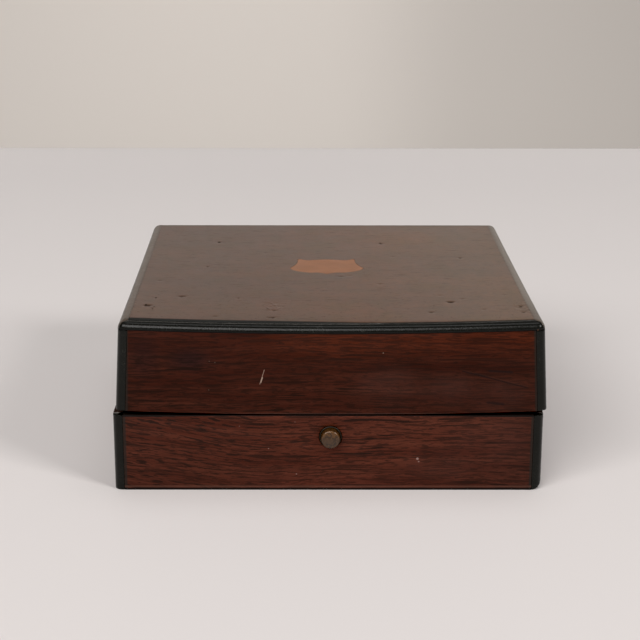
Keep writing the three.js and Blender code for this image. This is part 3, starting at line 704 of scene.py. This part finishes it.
def top_finish(colours):
    """The lid's panel: dull worn polish over brown wood, mottled and pitted."""
    f = Finish("mahogany_top", colours.top)
    drift = f.stretched(f.ways, (14, 22, 20)) - 0.5
    wavy = (f.x, f.y + drift * (5 * MM), f.z)
    bands = f.stretched(wavy, (9, 95, 100), 0, 4, 0.62)
    pores = f.stretched(wavy, (170, 1300, 900)).between(0.6, 0.7)
    mottle = f.noise(24, 4, 0.6)
    blotch = f.noise(85, 4, 0.6, 0.5)
    grit = f.noise(900)
    pocks = f.noise(1300, 2, 0.6)
    fine = f.stretched(f.ways, (430, 360, 300), 0, 3, 0.75)
    crumbs = f.stretched(f.ways, (420, 300, 300), 0, 2, 0.6, 0.5)

    f.lay(TOP_BAND, bands.between(0.35, 0.7) * 0.6)
    f.lay(TOP_BLOTCH, blotch.between(0.46, 0.66) * 0.4)
    f.lay(TOP_RED, (1 - blotch.between(0.34, 0.52)) * 0.25)
    f.lay(TOP_GREY, f.x.within(0, 80) * 0.45)
    f.lay(TOP_SMUDGE, spots(f.x, f.y, SMUDGES, CLOUDY) * 0.55)
    f.shade((mottle * 0.7 + fine * 1.2) * (0.94 + f.x.within(-60, 75) * 0.55))
    gritty = grit.between(0.64, 0.74) * (0.3 + (1 - f.y.within(-80, -10)) * 0.7)
    pitted = (f.note("grime") * (0.55 + pocks * 0.9)).between(0.25, 0.75)
    crazed = spots(f.x, f.y, CRAZED, RAGGED)
    dark = strongest((pores * 0.3, gritty * 0.6, pitted * 0.6, crazed * crumbs.between(0.56, 0.66) * 0.45))
    f.lay(TOP_PIT, dark)
    # Dark flecks at some of the dents, and a dark, rough strip along the panel's worn front edge
    edge = -78.9 * MM - f.x.within(-28, 30) * (2.0 * MM)
    marks = [(x, y, radius, radius / MARK_RATIO, share) for x, y, radius, share in MARKS]
    dark_flecks = (spots(f.x, f.y, marks, CRISP) * (0.5 + crumbs * 1.1)).least(1)
    black = dark_flecks.most(1 - (f.y - edge).within(-0.6, 0.5))
    f.lay(colours.black, black)
    rough = 0.28 + mottle * 0.08 + (blotch - 0.5) * 0.06 + fine * 0.08 + dark * 0.3 + black * 0.5
    relief = bands * 0.2 + mottle * 0.4 + fine * 1.3 - gritty * 1.1 - pores * 0.5
    return f.done(rough, (relief + crazed * (crumbs - 0.5) * 18, 0.05, 0.6), Specular_IOR_Level=0.44)


# Tones of the beads, the metal and the felt, among them painted sheen, shadow and reflection
BALD, PAINTED_SHEEN, FOOT_SHADOW = (0.052, 0.042, 0.03), (0.23, 0.2, 0.17), (0.001, 0.001, 0.001)
BRASS_PIT, RUST = (0.02, 0.013, 0.008), (0.055, 0.04, 0.03)
BUTTON_DULL, BUTTON_TOP_REFLECTION = (0.06, 0.031, 0.014), (0.105, 0.046, 0.012)
BUTTON_CLOUD, BUTTON_DIRT_AND_SHADE = (0.014, 0.008, 0.004), (0.012, 0.008, 0.005)
FELT_PRESSED, FELT_LINT = (0.1, 0.034, 0.03), (0.3, 0.24, 0.2)


def bead_finish(name, colours, rubbed=False):
    """Black stain, bare where it is chipped, rubbed brown on top where it is worn, with a painted grey sheen
    on the side beads' upward faces and a painted shadow line at the top beads' feet.
    """
    f = Finish(name, colours.black)
    rub = f.noise(420, 3, 0.6)
    crackle = f.noise(1250, 2, 0.6, 0.4)
    mottle = f.noise(90)
    up = f.upward()
    ragged = (f.note("chip") + (crackle - 0.5) * 0.9).between(0.42, 0.6)
    soot = f.note("soot").between(0.2, 0.8)
    f.shade(0.7 + mottle * 0.6 + crackle.between(0.56, 0.72) * mottle.between(0.4, 0.65) * 2)
    rough = 0.13 + rub * 0.2
    if rubbed:
        bald = (up + (rub - 0.5) * 1.3 + (crackle - 0.5) * 0.9).between(0.35, 0.95)
        f.lay(f.mix(colours.top, BALD, 0.4 + mottle * 0.5), bald)
        # Painted sheen: the side beads' upward faces lighter and greyer, most on the right bead
        right = f.x.within(74, 84) * (0.35 + f.y.within(-80, -40) * 0.65)
        sheen_share = right.most((1 - f.x.within(-84, -74)) * 0.25)
        f.lay(PAINTED_SHEEN, sheen_share * up.between(0, 0.5) * (0.45 + rub * 0.4))
        rough = rough + 0.06 + bald * 0.08
        relief = rub * 0.8 + crackle * (0.6 + (1 - f.y.within(-75, -25)) * 3.4)
    else:
        relief = rub * 0.8 + crackle * (0.6 + (1 - f.x.within(-75, 15)) * 0.9)
        relief = relief * (1 - up.between(0.5, 0.85) * 0.8)
    # painted shadow line along the top beads' feet, black and rough
    f.lay(FOOT_SHADOW, soot)
    f.lay(colours.bare, ragged)
    return f.done(rough + ragged * 0.3 + soot * 0.4, (relief + mottle * 0.4, 0.05, 0.5),
                  Specular_IOR_Level=0.44 if rubbed else 0.2)


def shield_finish(colours):
    """Satinwood, flat and satin, its grain along X."""
    f = Finish("satinwood_inlay", colours.shield)
    grain = f.stretched(f.ways, (60, 900, 500), 0, 3, 0.6)
    f.shade(0.6 + grain * 0.35 + f.noise(120) * 0.45)
    return f.done(0.46 + (grain - 0.5) * 0.15, (grain, 0.02, 0.5), Specular_IOR_Level=0.17)


def brass_finish(name, colours, film, light=1.0):
    """Brass under a brown film that is rubbed through in places."""
    brass, patina = ([part * light for part in tone] for tone in (colours.brass, colours.patina))
    f = Finish(name, brass)
    cloud = f.noise(380, 4, 0.62)
    pits = f.noise(1500)
    covered = (cloud + (film - 0.5)).between(0.4, 0.62)
    f.lay(patina, covered * 0.85)
    f.lay(BRASS_PIT, pits.between(0.6, 0.7) * 0.7)
    return f.done(0.27 + covered * 0.2 + pits.between(0.55, 0.7) * 0.2,
                  (cloud * 0.4 - pits * 0.6, 0.015, 0.6), Metallic=0.92 - covered * 0.35)


def button_finish():
    """The button's brass: a painted reflection, gold brown above and grey brown below, with dirt in its pits
    and painted shade where it sits inside the ferrule.
    """
    f = Finish("button_brass", BUTTON_DULL)
    cloud = f.noise(620, 4, 0.65)
    pits = f.noise(1900)
    height = (f.z - BUTTON_LOW.z) / (BUTTON_HIGH.z - BUTTON_LOW.z)
    # painted reflection: lighter gold brown towards the top, by height
    f.lay(BUTTON_TOP_REFLECTION, (height + (cloud - 0.5) * 0.9).between(0.42, 0.72))
    f.lay(BUTTON_CLOUD, cloud.between(0.48, 0.62) * 0.75)
    # dirt in the pits, and painted shade on the part inside the ferrule
    f.lay(BUTTON_DIRT_AND_SHADE, (pits.between(0.58, 0.7) * 0.6).most(f.y.within(-85.7, -85.3)))
    return f.done(0.42 + cloud * 0.14, (cloud - pits * 0.6, 0.05, 0.7), Metallic=0.6, Coat_Weight=0.45,
                  Coat_Roughness=0.05)


def steel_finish(colours):
    """Dulled spring steel with a fine lengthwise brush."""
    f = Finish("spring_steel", colours.steel)
    brush = f.stretched(f.ways, (2600, 900, 60))
    stain = f.noise(260, 3)
    f.lay(RUST, stain.between(0.5, 0.7) * 0.7)
    return f.done(0.34 + (brush - 0.5) * 0.2 + stain * 0.12, (brush, 0.01, 0.5), Metallic=0.9)


def felt_finish(colours):
    """Matt felt with a short nap, darker round its edge."""
    f = Finish("felt_lining", colours.felt)
    nap = f.noise(1100, 3, 0.75)
    tufts = f.stretched(f.ways, (420, 300, 300), 0, 3, 0.7, 1)
    press = f.noise(32, 4, 0.6)
    lint = f.stretched((f.x, f.y, 0), (900, 380, 0), 0, 1).between(0.72, 0.78)
    edge = f.x.size().most(f.y.size()).within(66.22, 77)
    f.shade((0.2 + nap * 0.7 + tufts * 0.5 + press * 0.5) * (1 - edge * 0.25))
    f.lay(FELT_PRESSED, press.between(0.5, 0.78) * 0.25)
    f.lay(FELT_LINT, lint * 0.5)
    return f.done(0.95, (nap * 0.6 + tufts + press * 1.5, 0.3, 0.9), Specular_IOR_Level=0.1,
                  Sheen_Weight=0.1)


def floor_finish(tone):
    """Pale paper that brightens a little towards its far edge."""
    f = Finish("floor_paper", tone)
    f.shade(1 + f.y.between(0.5, 0.65) * 0.03)
    return f.done(0.9, Specular_IOR_Level=0.2)


def backdrop_finish(tone):
    """Pale paint with painted shade: a little darker low down and at the right."""
    f = Finish("backdrop_paint", tone)
    low = 1 - f.z.between(0.05, 0.35)
    f.shade(1 - low * (f.z.between(-0.36, 0.02) * 0.1 + f.x.between(0, 0.3) * 0.13))
    return f.done(0.95, Specular_IOR_Level=0.2)


# Pieces
class PieceOperator(bpy.types.Operator):
    """What all operators of the box share"""

    bl_options = {"REGISTER", "UNDO"}


def knocked_foot(case, node):
    """A cut that takes the front end of the right wall's lower edge away with the bead before it."""
    low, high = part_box(node)
    away = Vector((1 / case.foot, -1 / case.foot_run, -1 / case.foot))
    return Vector((high.x, low.y, case.foot)), away


class BOX_OT_walls(PieceOperator):
    """Mahogany planks of the base and the lid"""

    bl_idname = "box_maker.walls"
    bl_label = "Walls"

    def execute(self, context):
        case, colours = chosen(context)
        finishes = {
            ("base", "front"): mahogany("mahogany_base_front", colours, "X", 0.0, 0.49, 1.0,
                                        base_front_clouds, base_front_marks_and_shadow, SEAM_SHADOW),
            ("lid", "front"): mahogany("mahogany_lid_front", colours, "X", 5.0, 0.31, 0.0,
                                       lid_front_clouds, lid_front_scars, SEAM_SHADOW, 0.1),
        }
        for axis in "XY":
            finishes[axis] = mahogany(f"mahogany_{axis.lower()}", colours, axis, 9.0, 0.42)
        boards = [(part, side, f"{part}_{side}_plank", f"{part}_{side}_wall")
                  for part in ("base", "lid") for side in SIDES]
        boards.append(("base", "bottom", "bottom_board", "base_bottom_panel"))
        for part, side, name, node in boards:
            plank = from_node(node, name)
            if (part, side) == ("base", "right"):
                sliced(plank, [knocked_foot(case, node)])
            softened(plank, case.edge)
            wood = finishes.get((part, side), finishes["Y" if side in ("left", "right") else "X"])
            finished(plank, WOOD_ANGLE, wood, part, "mahogany", node)
        return {"FINISHED"}


def knocked_corner(right, radius):
    """Cuts that round the foot of the bead at the right, which is worn away."""
    centre = Vector((right - radius, 0, radius))
    angles = map(math.radians, (15, 30, 45, 60, 75))
    ways = [Vector((math.sin(angle), 0, -math.cos(angle))) for angle in angles]
    return [(centre + way * radius, way) for way in ways]


# Chips in the beads: place and radius in millimetres, strength, and how bare the wood is there
CHIPS = {
    "base_bead_front_left": (((-85, -85.5, 31.5), 0.9, 0.6, 0.3),),
    "lid_bead_front_right": (((83.6, -85.5, 31.8), 0.6, 0.5, 0.4),),
    "base_bead_front_right": (((85, -85.5, 31.5), 0.7, 0.4, 0.35),),
    "top_bead_front": (((81.7, -85.5, 65.4), 0.6, 0.6, 0.7), ((82.9, -85.5, 65.5), 0.5, 0.5, 0.6),
                       ((-82.0, -85.3, 66.0), 0.8, 0.35, 0.8)),
}
CHIP_AIM = 48 * MM  # chips are knocked towards the box's middle line at this height
CHIP_CORE, CHIP_DEPTH, CHIP_BARE = 0.4 * MM, 0.45 * MM, 0.3 * MM
FOOT_SHADOW_RISE = 0.8 * MM  # how far up a top bead its painted shadow line fades
SLUMP_LEAN = Vector((-0.001, -0.12, 1)).normalized()  # how the worn front edge of the top faces


def chipped(obj):
    """Knocks small chips out of a bead and notes how bare each corner is left by them."""
    corners = obj.data.vertices
    start = [corner.co.copy() for corner in corners]
    bareness = [0.0] * len(start)
    for place, radius, strength, bare in CHIPS.get(obj.name, ()):
        place = Vector(place) * MM
        inward = Vector((-place.x, -place.y, CHIP_AIM - place.z)).normalized()
        nearest = min(start, key=lambda corner: (corner - place).length)
        before = [corner.co.copy() for corner in corners]
        with edited(obj):
            pick("verts", lambda corner: (corner.co - nearest).length < CHIP_CORE)
            push(inward * strength * CHIP_DEPTH, radius * MM, "SPHERE")
        for index, corner in enumerate(obj.data.vertices):
            moved = (corner.co - before[index]).length
            bareness[index] = max(bareness[index], bare * moved / CHIP_BARE)
    noted(obj, "chip", bareness)


def bead_made(context, bead, material, part, node, wear, grain):
    """Softens, wears and chips a bead, ages it with the lid and finishes it."""
    softened(bead, BEAD_EDGE, BEAD_ANGLE)
    worn(bead, wear * MM, grain * MM)
    chipped(bead)
    # notes where the painted shadow line lies along a top bead's foot
    if "top_bead" in node:
        low = context.scene.box_case.lid_top - context.scene.box_case.top_bead
        noted(bead, "soot", [1 - (corner.co.z - low) / FOOT_SHADOW_RISE for corner in bead.data.vertices])
    if part == "lid":
        aged(context, bead)
    finished(bead, BEAD_ANGLE, material, part, "ebonised_bead", node)


class BOX_OT_corner_beads(PieceOperator):
    """Black beads in the upright corners"""

    bl_idname = "box_maker.corner_beads"
    bl_label = "Corner beads"

    def execute(self, context):
        case, colours = chosen(context)
        black = shared("black_bead", bead_finish, colours)
        x, y = (size / 2 - case.bead - case.filled for size in (case.width, case.depth))
        levels = {
            "base": (0, case.base_height, -case.base_height, 2 * case.base_height),
            "lid": (case.lid_bottom, case.lid_top - case.top_bead - case.glue_gap,
                    case.lid_bottom - case.lid_height, case.lid_top),
        }
        for part, (bottom, top, case_bottom, case_top) in levels.items():
            whole = rounded_case(case, case_bottom, case_top)
            for corner, (right, back) in CORNERS.items():
                cuts = [((right * x, 0, 0), (-right, 0, 0)), ((0, back * y, 0), (0, -back, 0)),
                        ((0, 0, top), (0, 0, 1)), ((0, 0, bottom), (0, 0, -1))]
                if (part, corner) == ("base", "front_right"):
                    cuts += knocked_corner(case.width / 2, case.knock)
                bead = sliced(copied(whole, f"{part}_bead_{corner}"), cuts)
                with edited(bead):
                    divide("edges", lambda edge: along(edge, 2, 10), CORNER_CUTS)
                node = f"{part}_corner_bead_{corner}"
                bead_made(context, bead, black, part, node, wear=0.06, grain=1.6)
            removed(whole)
        return {"FINISHED"}


class BOX_OT_top_beads(PieceOperator):
    """Black beads round the top"""

    bl_idname = "box_maker.top_beads"
    bl_label = "Top beads"

    def execute(self, context):
        case, colours = chosen(context)
        black = shared("black_bead", bead_finish, colours)
        rubbed = bead_finish("rubbed_bead", colours, True)
        low, wide = case.lid_top - case.top_bead - case.filled, case.bead + case.filled
        slumped = (Vector((0, wide - case.depth / 2, case.lid_top - case.slump)), SLUMP_LEAN)
        whole = rounded_case(case, case.lid_bottom - case.lid_height, case.lid_top)
        for turn, side in enumerate(SIDES):
            axis = turn % 2
            quarter = Matrix.Rotation(turn * math.pi / 2, 3, "Z")
            out, right = quarter @ Vector((0, -1, 0)), quarter @ Vector((1, 0, 0))
            halves = (case.width / 2, case.depth / 2)
            across, reach = halves[axis], halves[1 - axis]
            cuts = [(out * (reach - wide), -out), ((0, 0, low), (0, 0, -1))]
            for hand in (-1, 1):
                corner = out * (reach - case.bead) + right * hand * (across - case.bead - case.glue_gap)
                cuts.append((corner, (right * hand - out).normalized()))
            if side != "back":
                cuts.append(slumped)
            bead = sliced(copied(whole, f"top_bead_{side}"), cuts)
            with edited(bead):
                divide("edges", lambda edge: along(edge, axis, 100), TOP_CUTS)
                divide("edges", lambda edge: along(edge, axis, 1), 1)
            stain = black if side == "front" else rubbed
            bead_made(context, bead, stain, "lid", f"lid_top_bead_{side}", wear=0.07, grain=1.8)
        removed(whole)
        return {"FINISHED"}


# Dents in the top: place across and back, half width, half depth and depth, in millimetres
DENTS = (
    (-61.8, -45.9, 1.5, 0.5, 0.26), (-72.8, -48.6, 0.6, 0.5, 0.2), (-75.2, -60.8, 1.0, 0.8, 0.38),
    (-72.8, -64.3, 0.7, 0.7, 0.24), (-50.8, 47.7, 0.7, 1.2, 0.17), (26.1, 45.6, 0.7, 1.0, 0.19),
    (61.0, 19.2, 0.7, 0.8, 0.18), (-28.4, 27.9, 0.7, 0.8, 0.14), (-53.7, 3.6, 0.7, 0.8, 0.15),
    (50.4, -53.4, 1.3, 0.5, 0.4), (46.4, -43.0, 0.7, 0.5, 0.18), (55.7, -49.0, 0.8, 0.5, 0.2),
    (62.8, -65.3, 1.0, 0.5, 0.2), (-24.1, -75.1, 1.3, 0.5, 0.26), (-46.3, -73.9, 0.7, 0.5, 0.2),
    (-38.2, -47.1, 0.7, 0.6, 0.14), (22.5, -24.7, 0.7, 0.7, 0.14), (40.9, -68.1, 0.8, 0.5, 0.22),
    (73.6, -43.9, 0.7, 0.6, 0.20), (5.7, -13.0, 1.0, 0.8, 0.14), (9.3, -11.0, 0.7, 0.7, 0.12),
    (-73.1, -21.1, 0.6, 0.6, 0.18), (30.6, 21.7, 0.7, 0.7, 0.12), (78.0, -61.7, 0.9, 0.8, 0.26),
    (-23.2, -64.9, 0.8, 0.6, 0.20), (-24.9, -58.6, 0.6, 0.6, 0.16), (71.3, -61.0, 0.7, 0.5, 0.16),
    (78.5, -70.5, 0.8, 0.6, 0.22),
)
DENT_REACH = 1.1 * MM
GRIMY = 0.34 * MM  # a dent this deep is full of grime

# The right half of the shield from its top to its point, in shares of its half width and its depth
SHIELD_SHAPE = (
    (0, 0.02), (0.3, 0.05), (0.54, 0.08), (0.73, 0), (0.8, 0.03), (0.79, 0.14), (0.81, 0.27), (0.86, 0.4),
    (0.93, 0.51), (1, 0.61), (0.94, 0.72), (0.84, 0.79), (0.7, 0.85), (0.55, 0.89), (0.42, 0.91), (0.3, 0.9),
    (0.17, 0.92), (0.07, 0.96), (0, 1),
)
SHIELD_SHARP = (3, 4, 9)
SHIELD_HALF_WIDTH, SHIELD_HALF_DEPTH = 16.4 * MM, 12.75 * MM
SHIELD_X, SHIELD_Y = -0.4 * MM, 4.5 * MM


def shield_outline(name, low, high, margin):
    """The shield as a flat curve through its corners, made a mesh and given its thickness."""
    half_width, half_depth = SHIELD_HALF_WIDTH + margin, SHIELD_HALF_DEPTH + margin
    right = [(across * half_width, half_depth * (1 - 2 * down)) for across, down in SHIELD_SHAPE]
    outline = right + [(-x, y) for x, y in reversed(right[1:-1])]
    sharp = {len(right) - 1, *SHIELD_SHARP, *(len(outline) - corner for corner in SHIELD_SHARP)}
    curve = bpy.data.curves.new(name, "CURVE")
    curve.dimensions = "2D"
    curve.fill_mode = "BOTH"
    curve.resolution_u = 5
    curve.extrude = (high - low) / 2
    line = curve.splines.new("BEZIER")
    line.use_cyclic_u = True
    line.bezier_points.add(len(outline) - 1)
    for index, (point, (x, y)) in enumerate(zip(line.bezier_points, outline)):
        point.co = (x, y, 0)
        point.handle_left_type = point.handle_right_type = "VECTOR" if index in sharp else "AUTO"
    activate(linked(name, curve))
    bpy.ops.object.convert(target="MESH")
    obj = bpy.context.object
    obj.location = (SHIELD_X, SHIELD_Y, (low + high) / 2)
    settle()
    with edited(obj):
        bpy.ops.mesh.remove_doubles(threshold=WELD)
        face_out()
    return obj


class BOX_OT_top_panel(PieceOperator):
    """The lid's panel, dented, with the pocket for the shield"""

    bl_idname = "box_maker.top_panel"
    bl_label = "Top panel"

    def execute(self, context):
        case, colours = chosen(context)
        top = case.lid_top
        x, y = case.panel
        panel = block("top_board", (-x, -y, top - case.top_thickness), (x, y, top))
        with edited(panel):
            divide("faces", lambda face: face.normal.z < -0.5, UNDER_CUTS)
            divide("faces", lambda face: face.normal.z > 0.5, TOP_CUTS, 1)
        pocket = shield_outline("shield_pocket", top - case.pocket, top + 2 * MM, case.glue_gap)
        apply(panel, "BOOLEAN", object=pocket, operation="DIFFERENCE", solver="EXACT")
        removed(pocket)
        before = [corner.co.z for corner in panel.data.vertices]
        with edited(panel):
            for dent in DENTS:
                across, back, wide, deep, depth = (size * MM for size in dent)
                pick("verts", lambda corner: corner.co.z > top - 1 * MM
                     and abs(corner.co.x - across) < wide and abs(corner.co.y - back) < deep)
                push((0, 0, -depth), DENT_REACH, "SMOOTH")
            # The worn front edge: reach in millimetres, share of the slump, and how far right it goes
            for reach, drop, right in ((2.6, 0.6, x), (4.0, 0.4, 20 * MM)):
                pick("verts", lambda corner: corner.co.z > top - 0.3 * MM
                     and corner.co.y < 0.4 * MM - y and corner.co.x < right)
                push((0, 0, -drop * case.slump), reach * MM, "SHARP")
        noted(panel, "grime", [(old - corner.co.z) / GRIMY if corner.co.y > 5 * MM - y else 0
                               for old, corner in zip(before, panel.data.vertices)])
        aged(context, panel)
        finished(panel, WOOD_ANGLE, top_finish(colours), "lid", "mahogany_top", "lid_top_panel")
        return {"FINISHED"}


class BOX_OT_shield(PieceOperator):
    """The shield let into the lid"""

    bl_idname = "box_maker.shield"
    bl_label = "Shield"

    def execute(self, context):
        case, colours = chosen(context)
        shield = shield_outline("shield", case.lid_top - case.shield, case.lid_top, 0)
        aged(context, shield)
        finished(shield, WOOD_ANGLE, shield_finish(colours), "lid", "satinwood_inlay", "shield_inlay")
        return {"FINISHED"}


class BOX_OT_linings(PieceOperator):
    """Felt on the floor and under the top"""

    bl_idname = "box_maker.linings"
    bl_label = "Linings"

    def execute(self, context):
        case, colours = chosen(context)
        felt = felt_finish(colours)
        floor = block("floor_felt", FLOOR_LOW, FLOOR_HIGH)
        lift = Vector((0, 0, case.lid_top - case.top_thickness - case.glue_gap - FLOOR_HIGH.z))
        under_top = block("lid_felt", FLOOR_LOW + lift, FLOOR_HIGH + lift)
        for sheet in (floor, under_top):
            with edited(sheet):
                divide("faces", lambda face: abs(face.normal.z) > 0.5, FELT_CUTS)
            softened(sheet, FELT_EDGE)
            worn(sheet, 0.12 * MM, 9 * MM)
        aged(context, under_top)
        finished(floor, BEAD_ANGLE, felt, "base", "felt_lining", "base_floor_lining")
        finished(under_top, BEAD_ANGLE, felt, "lid", "felt_lining", "lid_lining")
        return {"FINISHED"}


# Profiles of the turned work: radius and depth in millimetres, up to where the button's stem ends
BUTTON_HEAD = [(0.02, 0.22), (1.2, 0.2), (2.2, 0.13), (2.75, 0.04), (2.95, 0.0), (3.2, 0.03), (3.45, 0.14),
               (3.64, 0.34), (3.76, 0.62), (3.8, 0.95), (3.8, 7.75), (4.35, 7.75), (4.35, 8.95), (1.6, 8.95)]
FERRULE_RIM = [(3.92, 0.12), (3.98, 0.02), (4.12, 0.0), (4.3, 0.06), (4.44, 0.2), (4.5, 0.42)]


class BOX_OT_button(PieceOperator):
    """The push button and the ferrule round it"""

    bl_idname = "box_maker.button"
    bl_label = "Push button"

    def execute(self, context):
        centre = (BUTTON_LOW + BUTTON_HIGH) / 2
        end = (BUTTON_HIGH.y - BUTTON_LOW.y) / MM
        tip = [(1.6, end - 1.4), (1.2, end - 0.6), (0.7, end - 0.15), (0.02, end)]
        button = turned("button", BUTTON_HEAD + tip, Vector((centre.x, BUTTON_LOW.y, centre.z)))
        finished(button, METAL_ANGLE, button_finish(), "button", "aged_brass", "push_button")
        end = (FERRULE_HIGH.y - FERRULE_LOW.y) / MM
        bore = [(4.5, end), (3.92, end), FERRULE_RIM[0]]
        ferrule = turned("ferrule", FERRULE_RIM + bore, Vector((centre.x, FERRULE_LOW.y, centre.z)))
        # The ferrule's brass is darkened to a heavy patina, and further as painted shade of the dark ring
        # round the button
        shine = brass_finish("ferrule_brass", context.scene.box_colours, 0.85, 0.13)
        finished(ferrule, METAL_ANGLE, shine, "base", "aged_brass", "button_ferrule")
        return {"FINISHED"}


class BOX_OT_metalwork(PieceOperator):
    """Hinges, screws and the catch"""

    bl_idname = "box_maker.metalwork"
    bl_label = "Hinges, screws and catch"

    def execute(self, context):
        colours = context.scene.box_colours
        brass = ("aged_brass", brass_finish("aged_brass", colours, 0.55))
        steel = ("spring_steel", steel_finish(colours))
        taken = {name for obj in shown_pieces() for name in obj.get("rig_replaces", [])}
        for body, members in frame["record"]["behaviour"]["bodies"].items():
            for node in members:
                if node in taken:
                    continue
                part = from_node(node, f"{node}_metal")
                softened(part, METAL_EDGE, METAL_ANGLE)
                slot, metal = steel if node.startswith("catch_spring") else brass
                finished(part, METAL_ANGLE, metal, body, slot, node)
        return {"FINISHED"}


# Stage
DAYLIGHT = (1.0, 0.98, 0.965)
SENSOR = 36  # millimetres


# Soft lights: name, what sets the power, place, target, size and tone
LIGHTS = (
    ("key_light", "key", (-1.35, -2.65, 2.3), (0, 0, 0), (3.4, 1.8), DAYLIGHT),
    ("side_light", "side", (2.2, -1.8, 1.9), (0, 0, 0), (0.9, 0.9), DAYLIGHT),
    ("top_light", "fill", (0.2, 0.3, 2.4), (0, 0, 0), (1.4, 1.0), (1.0, 0.985, 0.98)),
    ("wall_light", "back", (-0.15, 1.3, 0.35), (-0.15, 2, 0.35), (0.8, 0.4), (1.0, 0.98, 0.95)),
)


class BOX_OT_stage(PieceOperator):
    """Floor, backdrop, soft light and the camera"""

    bl_idname = "box_maker.stage"
    bl_label = "Stage"

    def execute(self, context):
        scene, stage = context.scene, context.scene.box_stage
        floor = block("floor", (-4, -5, -0.1), (4, stage.floor_end, 0))
        with edited(floor):
            pick("edges", lambda edge: along(edge, 0) and edge.verts[0].co.z > -0.01
                 and edge.verts[0].co.y > 0)
            bpy.ops.mesh.bevel(offset=0.06, segments=STEPS, affect="EDGES")
        smoothed(floor, WOOD_ANGLE)
        floor.data.materials.append(floor_finish(stage.floor))
        wall = block("backdrop", (-5, stage.wall_distance, -2), (5, stage.wall_distance + 0.05, 1.05))
        wall.data.materials.append(backdrop_finish(stage.wall))
        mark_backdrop(floor, wall)
        for name, power, place, target, size, tone in LIGHTS:
            bpy.ops.object.light_add(type="AREA", location=place)
            lamp = bpy.context.object
            lamp.name = name
            lamp.data.shape = "RECTANGLE"
            lamp.data.size, lamp.data.size_y = size
            lamp.data.energy = getattr(stage, power)
            lamp.data.color = tone
            lamp.rotation_euler = (Vector(target) - Vector(place)).to_track_quat("-Z", "Y").to_euler()
        scene.world = bpy.data.worlds.new("room")
        scene.world.use_nodes = True
        room = scene.world.node_tree.nodes["Background"].inputs
        room["Color"].default_value = (1.0, 0.985, 0.96, 1)
        room["Strength"].default_value = stage.sky
        shown = scene.view_settings
        shown.view_transform = "Standard"
        shown.use_curve_mapping = True
        shown.curve_mapping.black_level = (stage.black,) * 3
        shown.curve_mapping.update()

        deselect()
        bpy.ops.object.camera_add(location=stage.camera)
        camera = bpy.context.object
        camera.name = "camera"
        camera.data.lens = stage.lens
        camera.data.sensor_width = SENSOR
        turns = ((-stage.yaw, "Z"), (math.pi / 2 - stage.pitch, "X"), (stage.roll, "Z"))
        yaw, pitch, roll = (Matrix.Rotation(angle, 3, axis) for angle, axis in turns)
        camera.rotation_euler = (yaw @ pitch @ roll).to_euler()
        scene.camera = camera
        return {"FINISHED"}


PIECES = (BOX_OT_walls, BOX_OT_corner_beads, BOX_OT_top_beads, BOX_OT_top_panel, BOX_OT_shield,
          BOX_OT_linings, BOX_OT_button, BOX_OT_metalwork, BOX_OT_stage)


class BOX_PT_panel(bpy.types.Panel):
    """Sizes, colours and pieces of the box"""

    bl_idname = "BOX_PT_panel"
    bl_label = "Mahogany box"
    bl_space_type = "VIEW_3D"
    bl_region_type = "UI"
    bl_category = "Box"

    def draw(self, context):
        for name, group in GROUPS.items():
            part = self.layout.box()
            part.label(text=group.__doc__)
            for key in group.__annotations__:
                part.prop(getattr(context.scene, name), key)
        for piece in PIECES:
            self.layout.operator(piece.bl_idname)


def register():
    for name, group in GROUPS.items():
        bpy.utils.register_class(group)
        setattr(bpy.types.Scene, name, PointerProperty(type=group))
    for piece in (*PIECES, BOX_PT_panel):
        bpy.utils.register_class(piece)


def unregister():
    for piece in (*PIECES, BOX_PT_panel):
        bpy.utils.unregister_class(piece)
    for name, group in GROUPS.items():
        delattr(bpy.types.Scene, name)
        bpy.utils.unregister_class(group)


def main():
    register()
    for piece in PIECES:
        family, name = piece.bl_idname.split(".")
        getattr(getattr(bpy.ops, family), name)()


if __name__ == "__main__":
    main()
